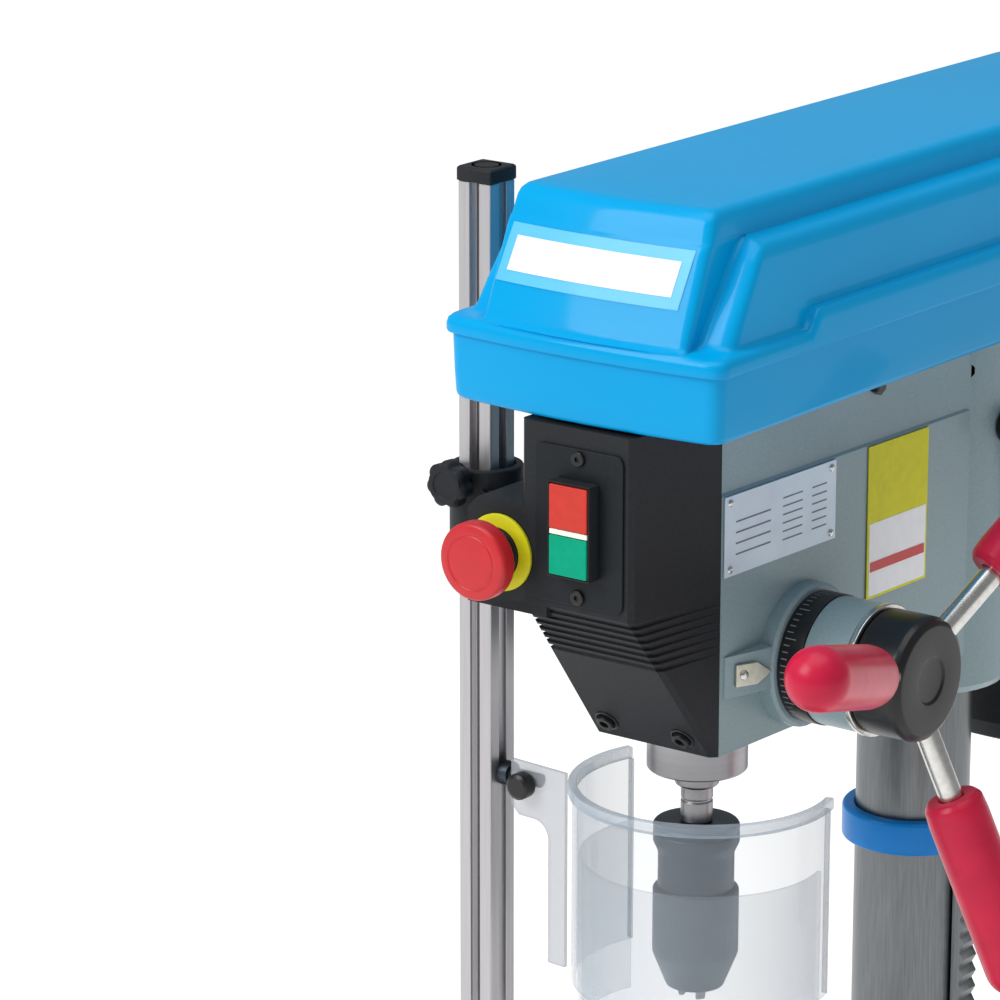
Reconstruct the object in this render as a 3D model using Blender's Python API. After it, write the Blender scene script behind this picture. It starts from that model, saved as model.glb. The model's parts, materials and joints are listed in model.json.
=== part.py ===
"""Bench drill press built as named sub-components.

All sizes below are millimetres in the machine frame: the spindle axis is x = 0, y = 0 and the
quill's lower face is z = 0.  +X is the feed-lever side, -Y the operator's side, +Z up.
place() moves them into the model frame, whose origin is the centre of the base's underside.
"""
import math

import bmesh
import bpy
from mathutils import Matrix, Vector

# ---- driving dimensions (mm) -------------------------------------------------------------
MM = 0.001
QUILL_HEIGHT = 650.0          # quill face above the bench
SPINDLE_Y = -70.0             # spindle axis from the middle of the base
GAP = 0.3                     # clearance left between separate pieces

COLUMN_Y = 200.0              # throat of the machine
COLUMN_R = 30.0
COLUMN_WALL = 3.5
COLUMN_TOP = 188.0
BORE_R = 30.4                 # what slides on or holds the column

BASE_HALF_X = 145.0
BASE_FRONT = -150.0
BASE_BACK = 290.0
BASE_BOTTOM = -QUILL_HEIGHT
BASE_TOP = -608.0

QUILL_R = 25.0
QUILL_LEN = 160.0
QUILL_STROKE = 80.0
SPINDLE_R = 10.0

CAST_FRONT = -34.0
CAST_HALF = 36.0
CAST_FLARE = 0.0367           # outward slope of the head's sides towards the column
CAST_BOTTOM = 21.5
CAST_TOP = 193.7
PARTING_Z = 152.0

FEED_Y = 32.0
FEED_Z = 58.3
DIAL_R = 32.6
DIAL_X = 46.3                   # inner face of the dial
LEVER_X = 99.0
LEVER_TILT = 17.0             # degrees the front lever stands above level at rest
LEVER_SPLAY = 0.3
LEVER_LEN = 160.0
GRIP_R = 15.4
GRIP_LEN = 94.0

HOOD_X = -4.0                 # middle of the belt housing
TRAY_BOTTOM = 194.0
SEAM_Z = 226.7
HOOD_BACK = 392.0
HOOD_TOP = 297.8
HOOD_WALL = 3.0

MOTOR_Y = 323.0
MOTOR_R = 60.0

POST_X = -115.0
POST_Y = -20.0
POST_TOP = 283.5
POST_BOTTOM = -150.0

GUARD_X = 4.0
GUARD_R = 65.0
GUARD_TOP = -7.0
GUARD_BOTTOM = -110.0

ESTOP_X = -47.0
ESTOP_Z = 125.0
COVER_FRONT = -98.0

TABLE_TOP = -350.0
TILT_Z = -400.0
CRANK_ARM = 46.0

X_AXIS = Vector((1, 0, 0))
Y_AXIS = Vector((0, 1, 0))
Z_AXIS = Vector((0, 0, 1))
FRONT = Vector((0, -1, 0))


# ---- mesh helpers ------------------------------------------------------------------------
def closed(bm):
    """Outward normals on a finished closed mesh."""
    bmesh.ops.recalc_face_normals(bm, faces=bm.faces)
    return bm


def turned(profile, origin, direction=Z_AXIS, segments=32, ring=False):
    """Body of revolution: profile is (radius, distance along direction) pairs.

    With ring=True the last point joins the first, otherwise both ends are closed flat.
    """
    w = Vector(direction).normalized()
    side = Z_AXIS if abs(w.z) < 0.9 else X_AXIS
    u = (side - w * side.dot(w)).normalized()
    v = w.cross(u)
    bm = bmesh.new()
    loops = []
    for radius, along in profile:
        centre = Vector(origin) + w * along
        if radius < 1e-6:
            loops.append([bm.verts.new(centre)])
            continue
        turns = [2 * math.pi * (k + 0.5) / segments for k in range(segments)]
        loops.append([bm.verts.new(centre + (u * math.cos(a) + v * math.sin(a)) * radius) for a in turns])
    pairs = list(zip(loops, loops[1:]))
    if ring:
        pairs.append((loops[-1], loops[0]))
    for low, high in pairs:
        if len(low) == 1 and len(high) == 1:
            continue
        for k in range(segments):
            n = (k + 1) % segments
            corners = [low[k % len(low)], low[n % len(low)], high[n % len(high)], high[k % len(high)]]
            bm.faces.new(list(dict.fromkeys(corners)))
    if not ring:
        for loop in (loops[0], loops[-1]):
            if len(loop) > 1:
                bm.faces.new(loop)
    return closed(bm)


def rod(radius, start, direction, length, segments=16, edge=0.0):
    """Plain cylinder, with an optional chamfer at its far end."""
    profile = [(radius, 0.0), (radius, length - edge)]
    if edge:
        profile.append((radius - edge, length))
    return turned(profile, start, direction, segments)


def loft(rings):
    """Skin through rings of equally many points, closed by flat ends."""
    bm = bmesh.new()
    loops = [[bm.verts.new(p) for p in ring] for ring in rings]
    count = len(loops[0])
    for low, high in zip(loops, loops[1:]):
        for k in range(count):
            n = (k + 1) % count
            bm.faces.new((low[k], low[n], high[n], high[k]))
    bm.faces.new(loops[0])
    bm.faces.new(loops[-1])
    return closed(bm)


def plate(outline, low, high, along="Z"):
    """Flat outline swept between two heights along one axis."""
    def lift(p, h):
        if along == "Z":
            return (p[0], p[1], h)
        if along == "Y":
            return (p[0], h, p[1])
        return (h, p[0], p[1])
    return loft([[lift(p, low) for p in outline], [lift(p, high) for p in outline]])


def block(x0, x1, y0, y1, z0, z1):
    return plate([(x0, y0), (x1, y0), (x1, y1), (x0, y1)], z0, z1)


def rounded(x0, x1, y0, y1, radius, steps=4):
    """Rectangle outline with round corners."""
    points = []
    corners = ((x1 - radius, y0 + radius, -90), (x1 - radius, y1 - radius, 0),
               (x0 + radius, y1 - radius, 90), (x0 + radius, y0 + radius, 180))
    for cx, cy, start in corners:
        for k in range(steps + 1):
            a = math.radians(start + 90.0 * k / steps)
            points.append((cx + radius * math.cos(a), cy + radius * math.sin(a)))
    return points


def bowed(half, front, back, radius, bow, z, centre=HOOD_X):
    """Belt-housing outline: rounded corners and a front edge that bows forward."""
    ring = []
    for x, y in rounded(-half, half, front, back, radius, 4):
        reach = max(0.0, 1.0 - (x / half) ** 2)
        near = 1.0 if y < front + radius + 0.01 else 0.0
        ring.append((centre + x, y - bow * reach * near, z))
    middle = []
    for k in range(1, 8):
        x = -half + radius + (2 * half - 2 * radius) * k / 8.0
        middle.append((centre + x, front - bow * (1.0 - (x / half) ** 2), z))
    return ring + middle


def worker(bm):
    mesh = bpy.data.meshes.new("worker")
    bm.to_mesh(mesh)
    bm.free()
    obj = bpy.data.objects.new("worker", mesh)
    bpy.context.scene.collection.objects.link(obj)
    return obj


def combine(operation, body, *tools):
    """Exact union or difference of the body with each tool in turn."""
    for tool in tools:
        base = worker(body)
        other = worker(tool)
        modifier = base.modifiers.new("combine", "BOOLEAN")
        modifier.object = other
        modifier.operation = operation
        modifier.solver = "EXACT"
        graph = bpy.context.evaluated_depsgraph_get()
        done = base.evaluated_get(graph)
        body = bmesh.new()
        body.from_mesh(done.to_mesh())
        done.to_mesh_clear()
        for obj in (base, other):
            mesh = obj.data
            bpy.data.objects.remove(obj, do_unlink=True)
            bpy.data.meshes.remove(mesh)
        bmesh.ops.remove_doubles(body, verts=body.verts, dist=1e-4)
    return body


def join(body, *tools):
    return combine("UNION", body, *tools)


def cut(body, *tools):
    return combine("DIFFERENCE", body, *tools)


LOOKS = {
    "hammer_grey": ((0.155, 0.215, 0.215), 0.42, 0.25),
    "gloss_blue": ((0.0, 0.27, 0.72), 0.22, 0.0),
    "collar_blue": ((0.0, 0.15, 0.5), 0.3, 0.0),
    "black_plastic": ((0.022, 0.023, 0.026), 0.55, 0.0),
    "black_metal": ((0.02, 0.02, 0.022), 0.4, 0.4),
    "steel": ((0.55, 0.56, 0.57), 0.28, 1.0),
    "dark_steel": ((0.12, 0.15, 0.18), 0.34, 1.0),
    "aluminium": ((0.72, 0.73, 0.75), 0.35, 1.0),
    "cast_bare": ((0.42, 0.43, 0.44), 0.4, 1.0),
    "red_button": ((0.62, 0.035, 0.02), 0.45, 0.0),
    "red_mushroom": ((0.72, 0.012, 0.02), 0.35, 0.0),
    "green_button": ((0.0, 0.36, 0.21), 0.45, 0.0),
    "pale_yellow": ((0.9, 0.82, 0.5), 0.5, 0.0),
    "yellow": ((0.8, 0.8, 0.0), 0.5, 0.0),
    "crimson_grip": ((0.5, 0.008, 0.03), 0.3, 0.0),
    "label": ((0.55, 0.6, 0.66), 0.4, 0.2),
    "belt_rubber": ((0.015, 0.015, 0.015), 0.8, 0.0),
    "clear": ((0.8, 0.88, 0.92), 0.08, 0.0),
}


def node(name, body, look, pivot=(0.0, 0.0, 0.0), smooth=True):
    """Final object: millimetres to metres, origin on the pivot, own material."""
    pivot = Vector(pivot)
    bmesh.ops.transform(body, matrix=Matrix.Translation(-pivot), verts=body.verts)
    bmesh.ops.scale(body, vec=Vector((MM, MM, MM)), verts=body.verts)
    mesh = bpy.data.meshes.new(name)
    body.to_mesh(mesh)
    body.free()
    if smooth:
        mesh.shade_smooth()
        mesh.set_sharp_from_angle(angle=math.radians(32))
    colour, rough, metal = LOOKS[look]
    material = bpy.data.materials.new(name + "_mat")
    material.use_nodes = True
    shader = material.node_tree.nodes["Principled BSDF"]
    shader.inputs["Base Color"].default_value = (*colour, 1.0)
    shader.inputs["Roughness"].default_value = rough
    shader.inputs["Metallic"].default_value = metal
    if look == "clear":
        shader.inputs["Alpha"].default_value = 0.3
    mesh.materials.append(material)
    obj = bpy.data.objects.new(name, mesh)
    obj.location = (pivot + Vector((0.0, SPINDLE_Y, QUILL_HEIGHT))) * MM
    bpy.context.scene.collection.objects.link(obj)
    return obj


# ---- base and column ---------------------------------------------------------------------
def build_base():
    def ring(inset, z):
        outline = rounded(-BASE_HALF_X + inset, BASE_HALF_X - inset, BASE_FRONT + inset, BASE_BACK - inset, 24.0, 3)
        return [(x, y, z) for x, y in outline]
    body = loft([ring(0.0, BASE_BOTTOM), ring(1.0, BASE_TOP - 6.0), ring(5.0, BASE_TOP)])
    middle = (BASE_FRONT + BASE_BACK) / 2.0
    inner = BASE_HALF_X - 14.0
    tools = []
    for y0, y1 in ((BASE_FRONT + 14.0, middle - 12.0), (middle + 12.0, BASE_BACK - 14.0)):
        tools.append(plate(rounded(-inner, inner, y0, y1, 12.0, 2), BASE_BOTTOM - 5.0, BASE_TOP - 16.0))
    for y in (-95.0, 15.0):
        slot = rounded(-85.0, 85.0, y - 7.0, y + 7.0, 6.9, 3)
        tools.append(plate(slot, BASE_BOTTOM - 1.0, BASE_TOP + 5.0))
    for x in (-118.0, 118.0):
        for y in (BASE_FRONT + 42.0, BASE_BACK - 42.0):
            tools.append(rod(5.5, (x, y, BASE_BOTTOM - 1.0), Z_AXIS, 60.0, 12))
    node("base", cut(body, *tools), "hammer_grey")

    flange = [(BORE_R, BASE_TOP + GAP), (66.0, BASE_TOP + GAP), (66.0, -596.0), (45.0, -588.0),
              (41.0, -536.0), (39.0, -534.0), (BORE_R, -534.0)]
    node("column_flange", turned(flange, (0, COLUMN_Y, 0), segments=32, ring=True), "hammer_grey")
    inner = COLUMN_R - COLUMN_WALL
    tube = [(inner, BASE_TOP + GAP), (COLUMN_R, BASE_TOP + GAP), (COLUMN_R, COLUMN_TOP), (inner, COLUMN_TOP)]
    node("column", turned(tube, (0, COLUMN_Y, 0), segments=40, ring=True), "steel")
    collar = [(BORE_R, -92.0), (37.0, -92.0), (37.0, -75.0), (36.2, -74.2), (BORE_R, -74.2)]
    node("rack_collar", turned(collar, (0, COLUMN_Y, 0), segments=40, ring=True), "collar_blue")


# ---- head --------------------------------------------------------------------------------
def flank(y):
    """Half width of the casting at a given depth."""
    return CAST_HALF + CAST_FLARE * (y - CAST_FRONT)


PAD_BACK = (36.8, -31.0)         # ends of the sloping pad under the pointer
PAD_TIP = (44.8, -4.0)


def build_casting():
    def ring(inset, z):
        back = 190.0
        a = flank(CAST_FRONT) - inset
        b = flank(back) - inset
        front = CAST_FRONT + inset
        return [(-a, front, z), (a, front, z), (b, back, z), (-b, back, z)]
    body = loft([ring(0.0, CAST_BOTTOM), ring(0.0, PARTING_Z - 0.5), ring(1.2, PARTING_Z + 0.7), ring(1.2, CAST_TOP)])
    column_boss = turned([(47.0, 0.0), (50.0, 4.0), (50.0, CAST_TOP)], (0, COLUMN_Y, 0), segments=36)
    right_boss = rod(36.0, (15.0, FEED_Y, FEED_Z), X_AXIS, DIAL_X - 15.3, 40, 1.5)
    left_boss = rod(31.0, (-15.0, FEED_Y, FEED_Z), -X_AXIS, 35.0, 32, 1.5)
    pad = plate([(30.0, -31.0), (PAD_BACK[0], PAD_BACK[1]), (PAD_TIP[0], PAD_TIP[1]), (PAD_TIP[0], 0.0), (30.0, 0.0)], 50.0, 71.0)
    body = join(body, column_boss, right_boss, left_boss, pad)
    quill_bore = rod(QUILL_R + 0.4, (0, 0, 0), Z_AXIS, 210.0, 32)
    column_bore = rod(BORE_R, (0, COLUMN_Y, -10.0), Z_AXIS, 220.0, 40)
    feed_bore = rod(9.4, (-70.0, FEED_Y, FEED_Z), X_AXIS, 140.0, 20)
    pocket = block(-29.0, 29.0, 64.0, 150.0, 84.0, 210.0)
    plate_room = block(-60.0, 60.0, 238.0, 260.0, -5.0, 210.0)
    tools = [quill_bore, column_bore, feed_bore, pocket, plate_room]
    for x in (-38.5, 38.5):
        tools.append(rod(6.4, (x, 176.0, 172.0), Y_AXIS, 90.0, 12))
    node("head_casting", cut(body, *tools), "hammer_grey")


def build_cover():
    back = CAST_FRONT - GAP
    low_z, low_front, low_half = CAST_BOTTOM, -37.4, 35.2
    knee_z, knee_half, knee_left = 103.0, 29.6, 35.4

    def ring(z, inset=0.0, shrink=0.0, rear=back):
        t = min(1.0, (z - low_z) / (knee_z - low_z))
        front = low_front + (COVER_FRONT - low_front) * t + inset
        half = low_half + (knee_half - low_half) * t - inset - shrink
        left = low_half + (knee_left - low_half) * t - inset - shrink
        wide = flank(CAST_FRONT) - shrink
        return [(-wide, rear, z), (wide, rear, z), (half, front + 2.5, z), (half - 2.5, front, z),
                (-left + 2.5, front, z), (-left, front + 2.5, z)]

    rings = [ring(low_z), ring(74.0)]
    rib_pitch = 4.1
    for k in range(7):
        z = 75.0 + rib_pitch * k
        rings.append(ring(z, 1.3))
        rings.append(ring(z + 1.4, 1.3))
        rings.append(ring(z + 2.0))
        rings.append(ring(z + rib_pitch - 0.7))
    rings.append(ring(knee_z + 0.5))
    rings.append(ring(192.5))
    body = loft(rings)
    arm_outline = [(-67.0, 97.2), (-20.0, 97.2), (-20.0, 150.0), (-61.0, 150.0), (-67.0, 144.0)]
    arm = plate(arm_outline, COVER_FRONT + 0.1, -58.0, "Y")
    body = join(body, arm)
    upper_room = block(-26.0, 26.0, -94.5, back + 5.0, 104.0, 189.0)
    room_outline = [(-63.8, 100.5), (-20.0, 100.5), (-20.0, 147.0), (-59.6, 147.0), (-63.8, 142.8)]
    arm_room = plate(room_outline, -94.5, -55.0, "Y")
    lower_room = loft([ring(34.0, 3.2, 3.0, back + 5.0), ring(104.5, 3.2, 3.0, back + 5.0)])
    stem_hole = rod(8.8, (ESTOP_X, COVER_FRONT - 2.0, ESTOP_Z), Y_AXIS, 8.0, 24)
    body = cut(body, upper_room, arm_room, lower_room, stem_hole)
    node("front_cover", body, "black_plastic", smooth=False)

    face = COVER_FRONT
    panel = plate(rounded(-25.6, 25.0, 106.5, 183.2, 4.0, 3), face - 1.5, face - GAP, "Y")
    node("switch_panel", panel, "black_plastic", smooth=False)
    housing_front = face - 9.5
    housing = block(-12.6, 11.6, housing_front, face - 1.8, 121.8, 168.2)
    well = block(-11.8, 10.8, housing_front - 1.0, housing_front + 6.0, 122.6, 167.4)
    node("switch_housing", cut(housing, well), "black_plastic", smooth=False)
    front = housing_front - 0.6
    back_face = housing_front + 2.6
    node("button_off", block(-11.4, 10.4, front, back_face, 145.6, 166.9), "red_button", smooth=False)
    node("lamp_strip", block(-11.4, 10.4, front + 0.4, housing_front + 5.7, 142.6, 145.2), "pale_yellow", smooth=False)
    node("button_on", block(-11.4, 10.4, front, back_face, 123.0, 142.2), "green_button", smooth=False)

    yellow = [(9.0, GAP), (19.0, GAP), (19.0, 1.8), (12.6, 3.4), (9.0, 3.4)]
    centre = (ESTOP_X, face, ESTOP_Z)
    node("estop_ring", turned(yellow, centre, FRONT, 28, ring=True), "yellow")
    cap = [(8.0, 8.9), (12.5, 8.9), (16.5, 12.6), (18.9, 13.8), (19.2, 15.2), (19.2, 21.8), (18.2, 23.8),
           (12.4, 24.4), (12.0, 24.0), (0.0, 24.0)]
    stem = [(0.0, 0.6), (8.0, 0.6)]
    node("estop_button", turned(stem + cap, centre, FRONT, 28), "red_mushroom", centre)


def side_plate(y0, y1, z0, z1, thick):
    """Thin plate lying on the head's flared right side."""
    rings = []
    for off in (GAP, GAP + thick):
        rings.append([(flank(y0) + off, y0, z0), (flank(y1) + off, y1, z0),
                      (flank(y1) + off, y1, z1), (flank(y0) + off, y0, z1)])
    return loft(rings)


def build_head_trim():
    node("nameplate", side_plate(-32.5, 58.0, 111.0, 151.0, 0.8), "label", smooth=False)
    node("warning_plate", side_plate(86.0, 138.0, 72.0, 151.0, 0.6), "yellow", smooth=False)
    start, end = Vector((*PAD_BACK, 0.0)), Vector((*PAD_TIP, 0.0))
    along = (end - start).normalized()
    out = Vector((-along.y, along.x, 0.0)) * -1.0
    outline = [(6.0, 55.4), (19.0, 54.8), (28.2, 59.6), (19.0, 66.0), (6.0, 66.6)]
    rings = [[tuple(start + along * s + out * h + Z_AXIS * z) for s, z in outline] for h in (GAP, GAP + 1.6)]
    node("pointer", loft(rings), "brass_tip", smooth=False)
    cap = [(0.0, 0.0), (29.0, 0.0), (30.0, 1.0), (30.0, 14.0), (27.0, 18.0), (10.0, 19.5), (0.0, 19.5)]
    node("spring_cap", turned(cap, (-50.3, FEED_Y, FEED_Z), -X_AXIS, 32), "black_plastic")
    gland = [(0.0, 0.0), (10.0, 0.0), (10.0, 5.0), (8.0, 6.0), (8.0, 13.0), (6.0, 16.0), (0.0, 16.0)]
    node("cable_gland", turned(gland, (-flank(125.0) - 0.8, 125.0, 120.0), -X_AXIS, 16), "black_plastic")


# ---- belt housing and drive --------------------------------------------------------------
def build_hood():
    back = HOOD_BACK
    outer = loft([bowed(74.5, -89.5, back - 4.5, 8.0, 11.0, TRAY_BOTTOM),
                  bowed(77.0, -92.0, back - 2.0, 9.0, 11.0, TRAY_BOTTOM + 3.0),
                  bowed(78.2, -93.2, back - 0.8, 10.0, 11.0, SEAM_Z)])
    inner = loft([bowed(74.2, -89.2, back - 4.8, 7.0, 11.0, TRAY_BOTTOM + 3.5),
                  bowed(75.4, -90.4, back - 3.6, 8.0, 11.0, SEAM_Z + 3.0)])
    shaft_hole = rod(23.0, (0, 0, TRAY_BOTTOM - 5.0), Z_AXIS, 12.0, 24)
    motor_hole = plate(rounded(-20.0, 20.0, MOTOR_Y - 32.0, MOTOR_Y + 20.0, 19.0, 4), TRAY_BOTTOM - 5.0, TRAY_BOTTOM + 7.0)
    node("belt_tray", cut(outer, inner, shaft_hole, motor_hole), "gloss_blue")

    seam = SEAM_Z + GAP
    lip = loft([bowed(80.4, -95.0, back + 1.0, 10.0, 11.0, seam),
                bowed(81.0, -95.6, back + 1.6, 10.0, 11.0, seam + 2.5),
                bowed(80.4, -95.0, back + 1.0, 10.0, 11.0, seam + 6.5),
                bowed(78.4, -93.0, back - 1.0, 9.0, 11.0, seam + 8.5)])
    shoulders = loft([bowed(74.6, -79.5, back - 6.0, 8.0, 2.0, seam + 4.0),
                      bowed(71.2, -52.4, back - 12.0, 8.0, 2.0, 277.0),
                      bowed(69.8, -49.8, back - 13.0, 8.0, 2.0, 279.6),
                      bowed(59.5, -45.0, back - 18.0, 8.0, 2.0, 283.4)])
    ridge = loft([bowed(58.8, -90.0, back - 8.0, 6.0, 5.5, seam + 3.0),
                  bowed(57.2, -69.0, back - 19.0, 6.0, 4.0, 293.8),
                  bowed(55.4, -65.0, back - 22.0, 6.0, 4.0, HOOD_TOP)])
    step = loft([bowed(78.8, -20.0, back - 2.0, 6.0, 0.0, seam + 6.0),
                 bowed(78.2, -16.0, back - 2.5, 6.0, 0.0, seam + 16.5),
                 bowed(75.9, -13.5, back - 5.0, 6.0, 0.0, seam + 18.5)])
    shell = join(lip, shoulders, ridge, step)
    low_room = loft([bowed(71.0, -75.0, back - 9.0, 7.0, 2.0, seam - 3.0),
                     bowed(67.6, -47.5, back - 15.0, 7.0, 2.0, 276.0)])
    high_room = loft([bowed(55.6, -85.2, back - 11.0, 5.0, 4.5, seam - 3.0),
                      bowed(54.2, -64.5, back - 22.0, 5.0, 3.0, HOOD_TOP - 3.2)])
    shell = cut(shell, low_room, high_room)
    node("belt_lid", shell, "gloss_blue", (HOOD_X, HOOD_BACK + 5.0, seam))


STEPS = (52.0, 44.0, 36.0, 28.0, 20.0)
STEP_HEIGHT = 13.0
PULLEY_BASE = 206.0


def step_pulley(radii, y, bore, hub_bottom):
    profile = [(bore, hub_bottom), (17.0, hub_bottom), (17.0, PULLEY_BASE)]
    for k, radius in enumerate(radii):
        z = PULLEY_BASE + STEP_HEIGHT * k
        profile += [(radius, z), (radius, z + 1.4), (radius - 6.0, z + 4.4), (radius - 6.0, z + 8.6), (radius, z + 11.6)]
    profile.append((radii[-1], PULLEY_BASE + STEP_HEIGHT * len(radii)))
    profile.append((bore, PULLEY_BASE + STEP_HEIGHT * len(radii)))
    return turned(profile, (0, y, 0), segments=18, ring=True)


def build_drive():
    node("spindle_pulley", step_pulley(STEPS, 0.0, SPINDLE_R + 0.4, 197.0), "aluminium", (0, 0, PULLEY_BASE))
    node("motor_pulley", step_pulley(STEPS[::-1], MOTOR_Y, 8.0, 199.0), "aluminium", (0, MOTOR_Y, PULLEY_BASE))
    shaft = turned([(7.6, 160.0), (7.6, 275.0), (6.6, 276.0)], (0, MOTOR_Y, 0), segments=16)
    node("motor_shaft", shaft, "steel", (0, MOTOR_Y, PULLEY_BASE))
    z = PULLEY_BASE + 2 * STEP_HEIGHT
    section = [(30.6, z + 5.2), (36.8, z + 2.3), (36.8, z + 10.7), (30.6, z + 7.8)]
    turns = 12
    bm = bmesh.new()
    loops = []
    for end, y in ((1, MOTOR_Y), (-1, 0.0)):
        for k in range(turns + 1):
            a = math.radians(180.0 * k / turns) + (0.0 if end > 0 else math.pi)
            loops.append([bm.verts.new((r * math.cos(a), y + r * math.sin(a), h)) for r, h in section])
    for low, high in zip(loops, loops[1:] + loops[:1]):
        for k in range(4):
            n = (k + 1) % 4
            bm.faces.new((low[k], low[n], high[n], high[k]))
    node("drive_belt", closed(bm), "belt_rubber")


def build_motor():
    pivot = (0, MOTOR_Y, 60.0)
    shell = [(0.0, -18.0), (57.0, -18.0), (MOTOR_R, -14.0), (MOTOR_R, 140.0), (54.0, 150.0), (26.0, 156.0), (8.4, 156.0),
             (8.4, 145.0), (0.0, 145.0)]
    node("motor", turned(shell, (0, MOTOR_Y, 0), segments=28), "black_metal", pivot)
    cowl = [(0.0, -60.0), (44.0, -60.0), (54.0, -56.0), (59.0, -46.0), (59.0, -18.3), (56.0, -18.3), (56.0, -44.0),
            (52.0, -53.0), (43.0, -57.0), (0.0, -57.0)]
    node("motor_cowl", turned(cowl, (0, MOTOR_Y, 0), segments=24), "black_plastic", pivot)
    box = plate(rounded(62.0 - GAP, 92.0, MOTOR_Y - 26.0, MOTOR_Y + 26.0, 4.0, 2), 45.0, 120.0)
    node("motor_box", box, "black_plastic", pivot)
    bracket = block(-49.5, 49.5, 252.5, 262.0, 22.0, 184.0)
    bars = [rod(6.0, (x, 192.0, 172.0), Y_AXIS, 64.0, 12) for x in (-38.5, 38.5)]
    node("motor_plate", join(bracket, *bars), "hammer_grey", pivot)
    hub_x = 50.4
    hub = turned([(0.0, 0.0), (9.0, 0.0), (9.0, 11.0), (7.0, 13.0), (0.0, 13.0)], (hub_x, COLUMN_Y, 140.0), X_AXIS, 16)
    arm = rod(4.0, (hub_x + 7.0, COLUMN_Y, 140.0), Vector((0.12, 0.5, -1.0)), 62.0, 12)
    knob_at = Vector((hub_x + 7.0, COLUMN_Y, 140.0)) + Vector((0.12, 0.5, -1.0)).normalized() * 60.0
    ball = turned([(0.0, -9.0), (6.4, -6.4), (9.0, 0.0), (6.4, 6.4), (0.0, 9.0)], knob_at, Vector((0.12, 0.5, -1.0)), 12)
    node("tension_lever", join(hub, arm, ball), "black_metal", (hub_x, COLUMN_Y, 140.0))


# ---- quill, spindle, chuck ---------------------------------------------------------------
def build_quill():
    body = [(SPINDLE_R + 0.4, 0.0), (QUILL_R - 0.6, 0.0), (QUILL_R, 0.8), (QUILL_R, QUILL_LEN), (SPINDLE_R + 0.4, QUILL_LEN)]
    node("quill", turned(body, (0, 0, 0), segments=36, ring=True), "steel")
    spindle = [(0.0, -50.0), (6.4, -50.0), (7.2, -27.6), (8.0, -27.4), (8.0, -9.2), (10.4, -8.6), (11.0, -8.0), (11.0, -GAP),
               (SPINDLE_R, -GAP), (SPINDLE_R, 282.0), (0.0, 282.0)]
    node("spindle", turned(spindle, (0, 0, 0), segments=24), "steel")
    body = [(7.5, -28.0), (20.6, -28.0), (21.5, -29.0), (21.5, -38.5), (19.0, -43.0), (19.0, -61.5), (12.0, -61.5),
            (12.0, -72.0), (0.0, -72.0), (0.0, -52.0), (6.8, -52.0)]
    node("chuck_body", turned(body, (0, 0, 0), segments=28, ring=True), "dark_steel")
    sleeve = [(12.4, -62.0), (20.7, -62.0), (21.5, -62.8), (21.5, -96.0), (20.0, -99.0), (14.0, -114.0), (12.4, -114.0)]
    node("chuck_sleeve", turned(sleeve, (0, 0, 0), segments=28, ring=True), "dark_steel", (0, 0, -90.0))
    outline = [(4.6, -0.4), (5.6, -2.2), (11.2, -2.2), (11.2, 2.2), (5.6, 2.2), (4.6, 0.4)]
    tip = [(4.6, -0.4), (5.6, -2.2), (7.6, -2.2), (7.6, 2.2), (5.6, 2.2), (4.6, 0.4)]
    for k in range(3):
        turn = Matrix.Rotation(math.radians(90.0 + 120.0 * k), 3, "Z")
        rings = [[turn @ Vector((x, y, z)) for x, y in shape]
                 for shape, z in ((tip, -120.0), (outline, -106.0), (outline, -73.0))]
        node("chuck_jaw_%d" % (k + 1), loft(rings), "steel")


# ---- feed --------------------------------------------------------------------------------
def lever_direction(angle):
    """Direction of a lever: forward at angle 0, rising with the angle, splayed to the right."""
    a = math.radians(angle)
    return Vector((LEVER_SPLAY, -math.cos(a), math.sin(a))).normalized()


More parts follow.
